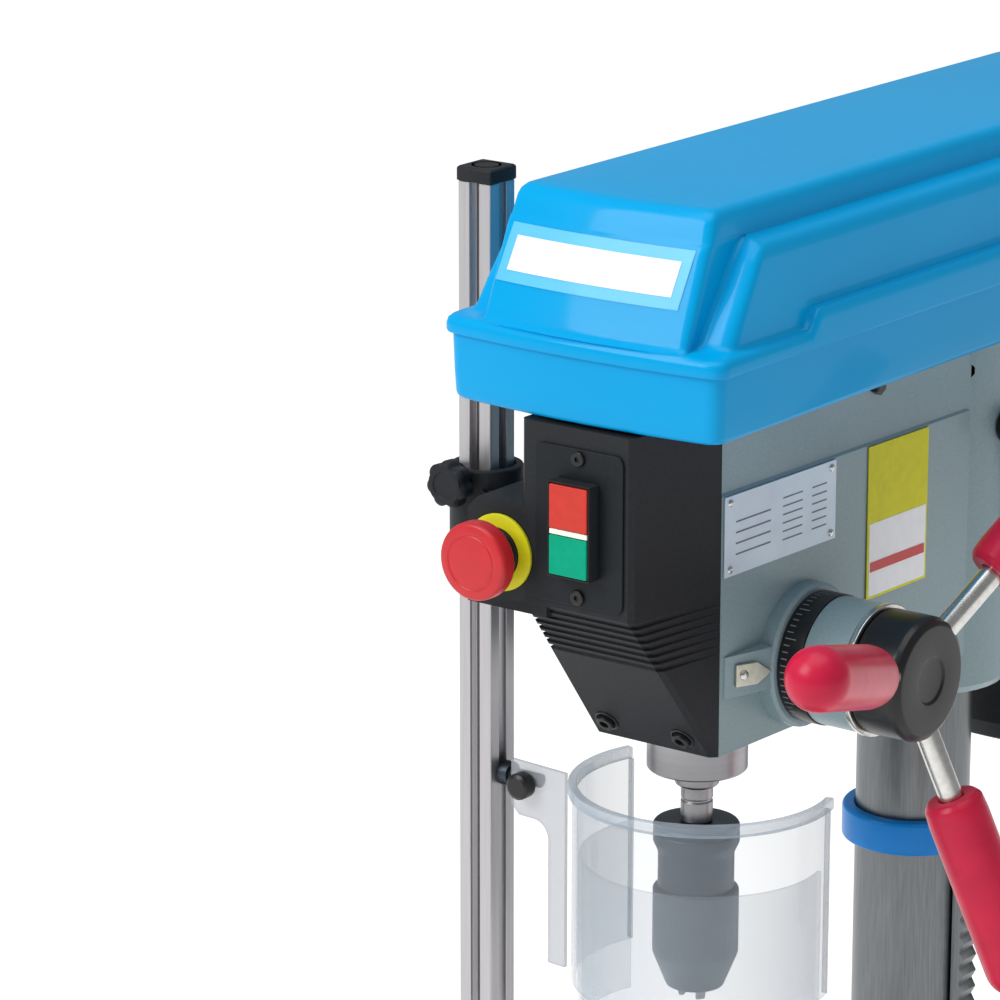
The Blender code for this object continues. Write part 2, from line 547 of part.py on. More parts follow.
def build_feed():
    axis = (0, FEED_Y, FEED_Z)
    shaft = [(0.0, -50.0), (9.0, -50.0), (9.0, -28.0), (6.2, -27.0), (6.2, 27.0), (9.0, 28.0), (9.0, 86.7), (0.0, 86.7)]
    node("feed_shaft", turned(shaft, axis, X_AXIS, 20), "steel", axis)
    start, middle, end = DIAL_X, DIAL_X + 13.0, DIAL_X + 40.2
    dial = [(9.4, start), (DIAL_R - 0.4, start), (DIAL_R, start + 0.4), (DIAL_R, middle), (9.4, middle)]
    node("depth_dial", turned(dial, axis, X_AXIS, 36, ring=True), "black_metal", axis)
    collar = [(9.4, middle + GAP), (DIAL_R - 0.5, middle + GAP), (DIAL_R - 0.5, end - 3.6), (DIAL_R + 0.4, end - 3.5),
              (DIAL_R + 0.4, end), (9.4, end)]
    node("feed_collar", turned(collar, axis, X_AXIS, 36, ring=True), "hammer_grey", axis)
    hub_start, hub_end = end + 0.5, LEVER_X + 15.0
    hub = turned([(0.0, hub_start), (30.4, hub_start), (31.2, hub_start + 0.8), (31.2, hub_end - 5.0), (28.0, hub_end),
                  (0.0, hub_end)], axis, X_AXIS, 28)
    root = Vector((LEVER_X, FEED_Y, FEED_Z))
    sockets = []
    for k in range(3):
        sockets.append(rod(6.4, root + lever_direction(LEVER_TILT + 120.0 * k) * 12.0, lever_direction(LEVER_TILT + 120.0 * k), 40.0, 12))
    node("lever_hub", cut(hub, *sockets), "black_metal", axis)
    for k in range(3):
        way = lever_direction(LEVER_TILT + 120.0 * k)
        tail = LEVER_LEN - GRIP_LEN
        lever = turned([(6.0, 12.6), (6.0, LEVER_LEN - 20.0)], root, way, 12)
        node("lever_%d" % (k + 1), lever, "steel", axis)
        grip = [(6.4, tail), (GRIP_R - 2.0, tail), (GRIP_R, tail + 4.0), (GRIP_R, LEVER_LEN)]
        for s in (30.0, 60.0, 90.0):
            a = math.radians(s)
            grip.append((GRIP_R * math.cos(a) if s < 90.0 else 0.0, LEVER_LEN + GRIP_R * math.sin(a)))
        grip += [(0.0, LEVER_LEN - 19.0), (6.4, LEVER_LEN - 19.0)]
        node("grip_%d" % (k + 1), turned(grip, root, way, 18, ring=True), "crimson_grip", axis)


# ---- table -------------------------------------------------------------------------------
def build_table():
    pivot = (0, COLUMN_Y, -400.0)
    z0, z1, pitch = -533.0, -92.4, 9.0
    teeth = [(193.2, z0), (206.8, z0)]
    outline = [(30.5, z0)]
    count = int((z1 - z0) // pitch)
    for k in range(count):
        z = z0 + pitch * k
        outline += [(38.2, z + 1.6), (35.6, z + 6.0)]
    outline += [(38.2, z1), (30.5, z1)]
    node("rack", plate(outline, teeth[0][0], teeth[1][0], "Y"), "steel", pivot, smooth=False)

    sleeve = rod(46.0, (0, COLUMN_Y, -440.0), Z_AXIS, 80.0, 32, 2.0)
    gusset = plate([(66.0, -420.0), (66.0, -376.0), (170.0, -370.0), (170.0, -436.0)], -16.0, 16.0, "X")
    disc = rod(35.0, (0, 85.0, TILT_Z), FRONT, 24.7, 28)
    pinion_box = rod(19.0, (30.0, COLUMN_Y, -400.0), X_AXIS, 34.0, 24, 2.0)
    body = join(sleeve, gusset, disc, pinion_box)
    bore = rod(BORE_R, (0, COLUMN_Y, -450.0), Z_AXIS, 100.0, 32)
    rack_way = block(20.0, 39.0, 192.4, 207.6, -450.0, -350.0)
    node("table_bracket", cut(body, bore, rack_way), "hammer_grey", pivot)

    half = 140.0
    centre_y = -2.0
    slab = loft([[(x, y, z) for x, y in rounded(-half + i, half - i, centre_y - half + i, centre_y + half - i, 12.0, 3)]
                 for i, z in ((1.0, -364.0), (0.0, -363.0), (0.0, TABLE_TOP - 0.8), (0.8, TABLE_TOP))])
    rib = block(-12.0, 12.0, -100.0, 60.0, TILT_Z - 4.0, -362.0)
    ear = rod(38.0, (0, 60.0, TILT_Z), FRONT, 20.0, 28)
    body = join(slab, rib, ear)
    trim = block(-60.0, 60.0, 30.0, 70.0, -350.5, -330.0)
    tools = [trim]
    for x in (-72.0, 72.0):
        slot = rounded(x - 7.0, x + 7.0, -100.0, 96.0, 6.9, 3)
        tools.append(plate(slot, -380.0, -340.0))
    node("table", cut(body, *tools), "cast_bare", (0, 60.0, TILT_Z))

    crank_x = 64.4
    crank_at = (crank_x, COLUMN_Y, -400.0)
    hub = rod(10.0, crank_at, X_AXIS, 14.0, 20, 1.0)
    arm = block(crank_x + 2.0, crank_x + 10.0, COLUMN_Y - CRANK_ARM - 8.0, COLUMN_Y, -408.0, -392.0)
    pin = rod(4.0, (crank_x + 4.0, COLUMN_Y - CRANK_ARM, -400.0), X_AXIS, 56.0, 12)
    node("table_crank", join(hub, arm, pin), "black_metal", crank_at)
    handle = [(4.4, 10.6), (9.0, 10.6), (10.5, 14.0), (9.0, 30.0), (10.5, 52.0), (8.0, 58.0), (4.4, 58.0)]
    spot = (crank_x, COLUMN_Y - CRANK_ARM, -400.0)
    node("crank_grip", turned(handle, spot, X_AXIS, 16, ring=True), "black_plastic", spot)
    lock_at = (-46.4, COLUMN_Y, -400.0)
    hub = rod(9.0, lock_at, -X_AXIS, 14.0, 16, 1.0)
    arm = rod(4.5, (-54.0, COLUMN_Y, -400.0), Vector((-0.35, -1.0, 0.25)), 52.0, 12)
    node("column_lock", join(hub, arm), "black_metal", lock_at)


# ---- chuck guard -------------------------------------------------------------------------
def t_slot_outline(cx, cy):
    quarter = [(10.0, -2.9), (8.2, -2.9), (8.2, -5.4), (6.6, -5.4), (4.2, -3.0),
               (4.2, 3.0), (6.6, 5.4), (8.2, 5.4), (8.2, 2.9), (10.0, 2.9), (10.0, 9.4), (9.4, 10.0)]
    outline = []
    for k in range(4):
        c, s = ((1, 0), (0, 1), (-1, 0), (0, -1))[k]
        outline += [(cx + x * c - y * s, cy + x * s + y * c) for x, y in quarter]
    return outline


def arc_wall(outer, inner, first, last, steps):
    """C-shaped outline round the spindle, open at the back."""
    points = []
    for radius, order in ((outer, range(steps + 1)), (inner, range(steps, -1, -1))):
        for k in order:
            a = math.radians(first + (last - first) * k / steps)
            points.append((GUARD_X + radius * math.cos(a), radius * math.sin(a)))
    return points


def build_guard():
    post_pivot = (POST_X, POST_Y, 0.0)
    holder = rod(18.5, (POST_X, POST_Y, 93.0), Z_AXIS, 48.0, 32, 1.0)
    bridge = block(POST_X, -37.9, -36.0, -6.0, 99.0, 131.0)
    rear_nib = block(-60.0, -38.1, -57.6, -30.0, 104.0, 128.0)
    bore = rod(14.6, (POST_X, POST_Y, 90.0), Z_AXIS, 60.0, 32)
    holder_body = cut(join(holder, bridge, rear_nib), bore)
    node("post_holder", holder_body, "black_plastic")

    node("guard_post", plate(t_slot_outline(POST_X, POST_Y), POST_BOTTOM, POST_TOP), "aluminium", post_pivot, smooth=False)
    cap_rings = []
    for inset, z in ((0.0, POST_TOP + GAP), (0.0, POST_TOP + 6.6), (1.0, POST_TOP + 7.5)):
        outline = rounded(POST_X - 11.0 + inset, POST_X + 11.0 - inset, POST_Y - 11.0 + inset, POST_Y + 11.0 - inset, 2.0, 2)
        cap_rings.append([(x, y, z) for x, y in outline])
    node("post_cap", loft(cap_rings), "black_plastic", post_pivot)

    knob_z = 136.3
    knob_profile = [(0.0, 19.2), (4.0, 19.2), (4.0, 23.4), (10.6, 24.4), (12.4, 26.4), (12.4, 33.0), (10.6, 35.0), (0.0, 35.0)]
    knob_at = (POST_X, POST_Y, knob_z)
    node("holder_knob", turned(knob_profile, knob_at, FRONT, 21), "black_plastic", knob_at)

    clamp_z = -19.0
    disc = turned([(0.0, 0.0), (6.3, 0.0), (6.3, 6.0), (3.6, 6.0), (3.6, 24.0), (0.0, 24.0)],
                  (POST_X + 10.4, POST_Y, clamp_z), X_AXIS, 20)
    node("guard_clamp", disc, "dark_steel", post_pivot)

    last = -200.7
    wall = plate(arc_wall(GUARD_R, GUARD_R - 2.4, 17.0, last + 0.2, 26), GUARD_BOTTOM, GUARD_TOP - 1.0)
    rim = plate(arc_wall(GUARD_R + 2.0, GUARD_R - 2.6, 16.8, last, 26), GUARD_TOP - 6.0, GUARD_TOP)
    tail_outline = [(-93.5, -28.4), (-93.5, -25.9), (-58.0, -28.4), (-49.0, -32.4), (-49.0, -37.0), (-59.0, -31.2)]
    tail = plate(tail_outline, GUARD_BOTTOM + 1.0, GUARD_TOP - 0.5)
    notch = block(-110.0, -69.0, -60.0, 0.0, GUARD_BOTTOM - 5.0, -36.0)
    shield = join(wall, rim, cut(tail, notch))
    node("guard_shield", shield, "clear", post_pivot)
    lower = plate(arc_wall(GUARD_R - 3.2, GUARD_R - 5.4, 15.0, last + 2.0, 26), -135.0, -45.0)
    node("guard_extension", lower, "clear", post_pivot)
    screw = [(0.0, 0.0), (6.4, 0.0), (6.8, 1.0), (6.8, 7.0), (5.0, 8.0), (0.0, 8.0)]
    screw_at = (-83.0, -30.3, -18.0)
    node("guard_screw", turned(screw, screw_at, FRONT, 20), "black_metal", screw_at)


def main():
    for obj in list(bpy.data.objects):
        bpy.data.objects.remove(obj, do_unlink=True)
    LOOKS["brass_tip"] = ((0.55, 0.5, 0.36), 0.35, 1.0)
    build_base()
    build_casting()
    build_cover()
    build_head_trim()
    build_hood()
    build_drive()
    build_motor()
    build_quill()
    build_feed()
    build_table()
    build_guard()


main()
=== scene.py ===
"""Looks of the bench drill: materials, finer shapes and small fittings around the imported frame.

Lengths written in millimetres are in the machine frame, whose origin is the spindle axis at the
quill's lower face; spot() turns them into the row frame.
"""

import json
import math

import bmesh
import bpy
from mathutils import Matrix, Vector


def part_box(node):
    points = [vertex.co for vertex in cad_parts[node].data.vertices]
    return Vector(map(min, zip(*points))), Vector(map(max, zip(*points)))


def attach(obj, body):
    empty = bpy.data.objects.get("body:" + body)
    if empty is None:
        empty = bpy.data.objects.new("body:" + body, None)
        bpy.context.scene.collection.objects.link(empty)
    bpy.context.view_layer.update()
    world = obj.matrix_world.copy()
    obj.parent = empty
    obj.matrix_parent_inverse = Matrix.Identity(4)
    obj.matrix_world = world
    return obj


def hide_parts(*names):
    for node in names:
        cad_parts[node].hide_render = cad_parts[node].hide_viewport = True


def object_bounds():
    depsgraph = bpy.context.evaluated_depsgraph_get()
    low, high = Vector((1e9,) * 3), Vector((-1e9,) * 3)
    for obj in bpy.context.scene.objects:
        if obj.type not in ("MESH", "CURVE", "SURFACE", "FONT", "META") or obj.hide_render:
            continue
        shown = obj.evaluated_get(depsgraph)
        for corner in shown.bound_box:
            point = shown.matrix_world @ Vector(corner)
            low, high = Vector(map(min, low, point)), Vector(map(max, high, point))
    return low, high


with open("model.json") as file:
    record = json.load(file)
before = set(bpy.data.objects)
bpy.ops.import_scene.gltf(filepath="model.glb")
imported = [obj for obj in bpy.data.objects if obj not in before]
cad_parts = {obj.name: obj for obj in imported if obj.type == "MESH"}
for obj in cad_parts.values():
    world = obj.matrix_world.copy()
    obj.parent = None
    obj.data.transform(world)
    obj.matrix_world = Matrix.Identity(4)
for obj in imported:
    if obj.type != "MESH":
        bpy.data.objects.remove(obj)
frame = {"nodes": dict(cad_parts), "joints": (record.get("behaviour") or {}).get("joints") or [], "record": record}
cad_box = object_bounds()

MM = 0.001
X_AXIS, Y_AXIS, Z_AXIS = Vector((1, 0, 0)), Vector((0, 1, 0)), Vector((0, 0, 1))
FRONT = -Y_AXIS
JOINTS = {j["name"]: j for j in frame["joints"]}
ORIGIN = Vector(JOINTS["spindle_spin"]["pos_m"])


def spot(x, y, z):
    return ORIGIN + Vector((x, y, z)) * MM


def local(point):
    """Row-frame point back to machine millimetres."""
    return (Vector(point) - ORIGIN) / MM


def joint_at(name):
    return local(JOINTS[name]["pos_m"])


# ---- materials ---------------------------------------------------------------------------
def nodes_of(material):
    material.use_nodes = True
    tree = material.node_tree
    return tree, tree.nodes["Principled BSDF"]


def texture(tree, kind, scale, stretch=(1.0, 1.0, 1.0), detail=3.0):
    """Noise or cell texture in object space; returns its value output."""
    coords = tree.nodes.new("ShaderNodeTexCoord")
    mapping = tree.nodes.new("ShaderNodeMapping")
    mapping.inputs["Scale"].default_value = stretch
    tree.links.new(coords.outputs["Object"], mapping.inputs["Vector"])
    if kind == "cells":
        tex = tree.nodes.new("ShaderNodeTexVoronoi")
        tex.feature = "SMOOTH_F1"
        tex.inputs["Smoothness"].default_value = 0.6
        out = tex.outputs["Distance"]
    else:
        tex = tree.nodes.new("ShaderNodeTexNoise")
        tex.inputs["Detail"].default_value = detail
        out = tex.outputs["Fac"]
    tex.inputs["Scale"].default_value = scale
    tree.links.new(mapping.outputs["Vector"], tex.inputs["Vector"])
    return out


def surface(name, colour, rough, metal=0.0, coat=0.0, vary=0.0, vary_scale=60.0, bump=0.0, bump_scale=400.0,
            kind="noise", stretch=(1.0, 1.0, 1.0), rough_vary=0.0, specular=0.5, depth=0.0002):
    """Principled material with colour, roughness and height detail from procedural textures."""
    material = bpy.data.materials.new(name)
    tree, shader = nodes_of(material)
    shader.inputs["Base Color"].default_value = (*colour, 1.0)
    shader.inputs["Roughness"].default_value = rough
    shader.inputs["Metallic"].default_value = metal
    shader.inputs["Coat Weight"].default_value = coat
    shader.inputs["Coat Roughness"].default_value = 0.08
    shader.inputs["Specular IOR Level"].default_value = specular
    if vary:
        ramp = tree.nodes.new("ShaderNodeValToRGB")
        ramp.color_ramp.elements[0].position = 0.3
        ramp.color_ramp.elements[1].position = 0.7
        ramp.color_ramp.elements[0].color = (*[c * (1.0 - vary) for c in colour], 1.0)
        ramp.color_ramp.elements[1].color = (*[min(1.0, c * (1.0 + vary)) for c in colour], 1.0)
        tree.links.new(texture(tree, kind, vary_scale, stretch), ramp.inputs["Fac"])
        tree.links.new(ramp.outputs["Color"], shader.inputs["Base Color"])
    if rough_vary:
        span = tree.nodes.new("ShaderNodeMapRange")
        span.inputs["To Min"].default_value = max(0.02, rough - rough_vary)
        span.inputs["To Max"].default_value = rough + rough_vary
        tree.links.new(texture(tree, "noise", vary_scale * 1.7, stretch, 4.0), span.inputs["Value"])
        tree.links.new(span.outputs["Result"], shader.inputs["Roughness"])
    if bump:
        lift = tree.nodes.new("ShaderNodeBump")
        lift.inputs["Strength"].default_value = bump
        lift.inputs["Distance"].default_value = depth
        tree.links.new(texture(tree, kind, bump_scale, stretch), lift.inputs["Height"])
        tree.links.new(lift.outputs["Normal"], shader.inputs["Normal"])
    return material


def clear_sheet(name, face_alpha, edge_alpha, colour=(0.80, 0.87, 0.93)):
    """Clear plastic: nearly invisible face on, denser towards grazing angles."""
    material = bpy.data.materials.new(name)
    tree, shader = nodes_of(material)
    shader.inputs["Base Color"].default_value = (*colour, 1.0)
    shader.inputs["Roughness"].default_value = 0.06
    shader.inputs["Specular IOR Level"].default_value = 0.55
    weight = tree.nodes.new("ShaderNodeLayerWeight")
    weight.inputs["Blend"].default_value = 0.35
    span = tree.nodes.new("ShaderNodeMapRange")
    span.inputs["To Min"].default_value = face_alpha
    span.inputs["To Max"].default_value = edge_alpha
    tree.links.new(weight.outputs["Facing"], span.inputs["Value"])
    tree.links.new(span.outputs["Result"], shader.inputs["Alpha"])
    lift = tree.nodes.new("ShaderNodeBump")
    lift.inputs["Strength"].default_value = 0.05
    lift.inputs["Distance"].default_value = 0.0004
    tree.links.new(texture(tree, "noise", 30.0), lift.inputs["Height"])
    tree.links.new(lift.outputs["Normal"], shader.inputs["Normal"])
    return material


HAMMER = surface("hammer_paint", (0.235, 0.330, 0.355), 0.42, 0.0, 0.15, 0.07, 900.0, 0.4, 700.0,
                 depth=0.0003, specular=0.4)
BLUE = surface("blue_gloss", (0.0, 0.335, 0.690), 0.3, 0.0, 0.16, 0.03, 8.0, 0.04, 60.0, rough_vary=0.03,
               specular=0.07)
COLLAR_BLUE = surface("collar_blue_paint", (0.0, 0.20, 0.60), 0.32, 0.0, 0.1, 0.05, 90.0, 0.12, 260.0,
                      specular=0.2)
BLACK = surface("black_moulded", (0.021, 0.023, 0.026), 0.5, 0.0, 0.0, 0.10, 500.0, 0.3, 2600.0,
                rough_vary=0.05, specular=0.14)
PANEL = surface("black_panel_film", (0.013, 0.016, 0.019), 0.45, 0.0, 0.0, 0.08, 300.0, 0.2, 3200.0,
                specular=0.16)
SATIN = surface("satin_black_paint", (0.010, 0.010, 0.011), 0.36, 0.0, 0.1, 0.1, 200.0, 0.3, 900.0,
                specular=0.3)
STEEL = surface("ground_steel", (0.17, 0.18, 0.185), 0.34, 1.0, 0.0, 0.12, 900.0, 0.12, 1500.0,
                stretch=(1.0, 1.0, 0.05), rough_vary=0.06)
TURNED = surface("turned_steel", (0.36, 0.35, 0.36), 0.36, 1.0, 0.0, 0.14, 60.0, 0.22, 900.0,
                 stretch=(0.03, 0.03, 1.6), rough_vary=0.06)
BLUED = surface("blued_steel", (0.055, 0.066, 0.080), 0.4, 0.9, 0.0, 0.15, 70.0, 0.2, 800.0,
                stretch=(0.05, 0.05, 1.5), rough_vary=0.06)
ALU = surface("anodised_aluminium", (0.50, 0.485, 0.495), 0.42, 0.85, 0.0, 0.06, 700.0, 0.18, 900.0,
              stretch=(1.0, 1.0, 0.02), rough_vary=0.05)
BRIGHT = surface("bright_trim", (0.62, 0.61, 0.58), 0.24, 1.0, 0.0, 0.08, 300.0, 0.08, 900.0)
CAST = surface("machined_iron", (0.30, 0.305, 0.31), 0.36, 1.0, 0.0, 0.14, 240.0, 0.2, 700.0,
               stretch=(1.0, 0.06, 1.0), rough_vary=0.08)
RED = surface("red_key", (0.58, 0.040, 0.026), 0.45, 0.0, 0.0, 0.05, 200.0, 0.15, 1800.0, specular=0.25)
GREEN = surface("green_key", (0.0, 0.34, 0.195), 0.45, 0.0, 0.0, 0.05, 200.0, 0.15, 1800.0, specular=0.1)
LAMP = surface("lamp_window", (0.95, 0.94, 0.78), 0.4, 0.0, 0.1, 0.06, 260.0, 0.3, 900.0)
MUSHROOM = surface("mushroom_red", (0.54, 0.020, 0.026), 0.38, 0.0, 0.05, 0.05, 120.0, 0.08, 1500.0,
                   specular=0.35)
YELLOW = surface("signal_yellow", (0.66, 0.64, 0.010), 0.45, 0.0, 0.0, 0.05, 200.0, 0.1, 1500.0,
                 specular=0.25)
GRIP = surface("crimson_vinyl", (0.55, 0.014, 0.052), 0.3, 0.0, 0.0, 0.08, 70.0, 0.12, 300.0,
               rough_vary=0.05, specular=0.22)
FOIL = surface("label_foil", (0.62, 0.74, 0.84), 0.36, 0.1, 0.0, 0.06, 40.0, 0.08, 500.0)
PRINT = surface("label_print", (0.12, 0.16, 0.20), 0.45, 0.0, 0.0, 0.15, 900.0, 0.1, 1500.0)
WHITE = surface("white_print", (0.84, 0.86, 0.88), 0.4, 0.0, 0.0, 0.03, 200.0, 0.05, 900.0, specular=0.3)
MARK = surface("dial_paint", (0.26, 0.28, 0.30), 0.45, 0.0, 0.0, 0.05, 300.0, 0.05, 900.0, specular=0.2)
PALE_BLUE = surface("decal_film", (0.10, 0.50, 0.84), 0.35, 0.0, 0.1, 0.03, 60.0, 0.03, 200.0, specular=0.3)
RED_PRINT = surface("red_print", (0.55, 0.03, 0.03), 0.4, 0.0, 0.0, 0.06, 300.0, 0.05, 900.0)
RUBBER = surface("belt_rubber", (0.014, 0.014, 0.014), 0.75, 0.0, 0.0, 0.2, 300.0, 0.5, 900.0)
BRASS = surface("pointer_plate", (0.60, 0.57, 0.48), 0.34, 0.9, 0.0, 0.1, 300.0, 0.15, 900.0)
DARK = surface("screw_black", (0.010, 0.010, 0.011), 0.34, 0.0, 0.0, 0.1, 400.0, 0.2, 1500.0, specular=0.4)
CLEAR = clear_sheet("clear_guard", 0.12, 0.5, (0.46, 0.52, 0.58))
CLEAR_TAIL = clear_sheet("clear_guard_plate", 0.42, 0.66, (0.46, 0.48, 0.52))
CLEAR_EDGE = clear_sheet("clear_guard_edge", 0.30, 0.8, (0.42, 0.50, 0.58))
CLEAR_DARK = clear_sheet("clear_guard_cut", 0.34, 0.8, (0.40, 0.45, 0.50))


# ---- shape helpers -----------------------------------------------------------------------
def place(name, mesh, material, body, slot=None, replaces=(), smooth=35.0, bevel=0.0, segments=2,
          limit=35.0):
    """Put a finished mesh in the scene, riding on a body."""
    for poly in mesh.polygons:
        poly.use_smooth = True
    mesh.set_sharp_from_angle(angle=math.radians(smooth))
    mesh.materials.clear()
    mesh.materials.append(material)
    obj = bpy.data.objects.new(name, mesh)
    bpy.context.scene.collection.objects.link(obj)
    if bevel:
        mod = obj.modifiers.new("edges", "BEVEL")
        mod.width = bevel * MM
        mod.segments = segments
        mod.limit_method = "ANGLE"
        mod.angle_limit = math.radians(limit)
        mod.harden_normals = True
    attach(obj, body)
    if replaces:
        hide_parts(*replaces)
    return obj


def to_mesh(bm, name):
    bmesh.ops.recalc_face_normals(bm, faces=bm.faces)
    mesh = bpy.data.meshes.new(name)
    bm.to_mesh(mesh)
    bm.free()
    return mesh


def basis(direction):
    w = Vector(direction).normalized()
    side = Z_AXIS if abs(w.z) < 0.9 else X_AXIS
    u = (side - w * side.dot(w)).normalized()
    return u, w.cross(u), w


def soften(profile, radius, ring):
    """Round the corners of a turning profile."""
    out = []
    count = len(profile)
    for k, point in enumerate(profile):
        here = Vector(point)
        if not ring and k in (0, count - 1):
            out.append(tuple(here))
            continue
        before, after = Vector(profile[k - 1]), Vector(profile[(k + 1) % count])
        a, b = before - here, after - here
        if a.length < 1e-6 or b.length < 1e-6 or here.x < 1e-6 or abs(a.angle(b) - math.pi) < 0.25:
            out.append(tuple(here))
            continue
        reach = min(radius, a.length * 0.45, b.length * 0.45)
        start, end = here + a.normalized() * reach, here + b.normalized() * reach
        for t in (0.0, 0.33, 0.67, 1.0):
            out.append(tuple(start * (1 - t) ** 2 + here * 2 * t * (1 - t) + end * t ** 2))
    return out


def lathe_bm(profile, origin, direction=Z_AXIS, segments=72, ring=False, soft=0.5, lobes=0, lobe=0.0,
             lobe_from=0.0):
    """Turned body; with lobes its outline is fluted beyond the radius lobe_from."""
    u, v, w = basis(direction)
    profile = soften(profile, soft, ring) if soft else profile
    bm = bmesh.new()
    loops = []
    for radius, along in profile:
        centre = Vector(origin) + w * along
        if radius < 1e-5:
            loops.append([bm.verts.new(ORIGIN + centre * MM)])
            continue
        loop = []
        for k in range(segments):
            a = 2 * math.pi * k / segments
            r = radius
            if lobes and radius > lobe_from:
                r = radius - lobe * (0.5 - 0.5 * math.cos(lobes * a)) ** 1.6
            loop.append(bm.verts.new(ORIGIN + (centre + (u * math.cos(a) + v * math.sin(a)) * r) * MM))
        loops.append(loop)
    pairs = list(zip(loops, loops[1:]))
    if ring:
        pairs.append((loops[-1], loops[0]))
    for low, high in pairs:
        if len(low) == 1 and len(high) == 1:
            continue
        for k in range(segments):
            n = (k + 1) % segments
            corners = [low[k % len(low)], low[n % len(low)], high[n % len(high)], high[k % len(high)]]
            bm.faces.new(list(dict.fromkeys(corners)))
    if not ring:
        for loop in (loops[0], loops[-1]):
            if len(loop) > 1:
                bm.faces.new(loop)
    return bm


def lathe(name, profile, origin, direction, material, body, **options):
    shape = {k: options.pop(k) for k in ("segments", "ring", "soft", "lobes", "lobe", "lobe_from")
             if k in options}
    return place(name, to_mesh(lathe_bm(profile, origin, direction, **shape), name), material, body,
                 **options)


def loft_bm(rings, cap_low=True, cap_high=True):
    bm = bmesh.new()
    loops = [[bm.verts.new(spot(*p)) for p in ring] for ring in rings]
    count = len(loops[0])
    for low, high in zip(loops, loops[1:]):
        for k in range(count):
            n = (k + 1) % count
            bm.faces.new((low[k], low[n], high[n], high[k]))
    if cap_low:
        bm.faces.new(loops[0])
    if cap_high:
        bm.faces.new(loops[-1])
    bmesh.ops.remove_doubles(bm, verts=bm.verts, dist=1e-6)
    return bm


def box_bm(x0, x1, y0, y1, z0, z1):
    corners = [(x0, y0), (x1, y0), (x1, y1), (x0, y1)]
    return loft_bm([[(x, y, z) for x, y in corners] for z in (z0, z1)])


def refine(node, material, bevel=0.8, segments=2, limit=35.0, smooth=30.0, flatten=0.5):
    """The node's own shape as clean faces with rounded edges, standing for the node."""
    bm = bmesh.new()
    bm.from_mesh(frame["nodes"][node].data)
    bmesh.ops.remove_doubles(bm, verts=bm.verts, dist=2e-6)
    bmesh.ops.dissolve_limit(bm, angle_limit=math.radians(flatten), verts=bm.verts, edges=bm.edges)
    body = next(b for b, members in frame["record"]["behaviour"]["bodies"].items() if node in members)
    slot = next(s["material_slot"] for s in frame["record"]["subparts"] if s["node"] == node)
    mesh = to_mesh(bm, node + "_skin")
    return place(node + "_skin", mesh, material, body, slot, (node,), smooth, bevel, segments, limit)


def join_pieces(name, parts, material, body, **options):
    """Several small closed shapes as one piece."""
    whole = bmesh.new()
    for part in parts:
        scratch = to_mesh(part, "scratch")
        whole.from_mesh(scratch)
        bpy.data.meshes.remove(scratch)
    return place(name, to_mesh(whole, name), material, body, **options)


def hex_bolt(centre, direction, across=8.0, height=5.0, washer=0.0):
    u, v, w = basis(direction)
    parts = []
    profile = [(0.0, washer), (across / math.sqrt(3) * 1.0, washer),
               (across / math.sqrt(3) * 1.0, washer + height * 0.86),
               (across / math.sqrt(3) * 0.86, washer + height), (0.0, washer + height)]
    parts.append(lathe_bm(profile, centre, direction, 6, False, 0.0))
    if washer:
        parts.append(lathe_bm([(0.0, 0.0), (across * 0.98, 0.0), (across * 0.98, washer), (0.0, washer)],
                              centre, direction, 32, False, 0.2))
    return parts


# ---- belt housing ------------------------------------------------------------------------
HOOD_X = (local(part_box("belt_lid")[0]).x + local(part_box("belt_lid")[1]).x) / 2.0
SEAM = local(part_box("belt_lid")[0]).z
LID_BACK = local(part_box("belt_lid")[1]).y
LID_TOP = local(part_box("belt_lid")[1]).z
TRAY_LOW = local(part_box("belt_tray")[0]).z
TRAY_TOP = local(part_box("belt_tray")[1]).z


CORNER_STEPS = 7


def corner(points, at, before, after, radius, steps=CORNER_STEPS):
    """Append a filleted corner to an outline."""
    here = Vector(at)
    a, b = Vector(before) - here, Vector(after) - here
    reach = min(radius, a.length * 0.49, b.length * 0.49)
    start, end = here + a.normalized() * reach, here + b.normalized() * reach
    for k in range(steps):
        t = k / (steps - 1)
        points.append(start * (1 - t) ** 2 + here * 2 * t * (1 - t) + end * t ** 2)


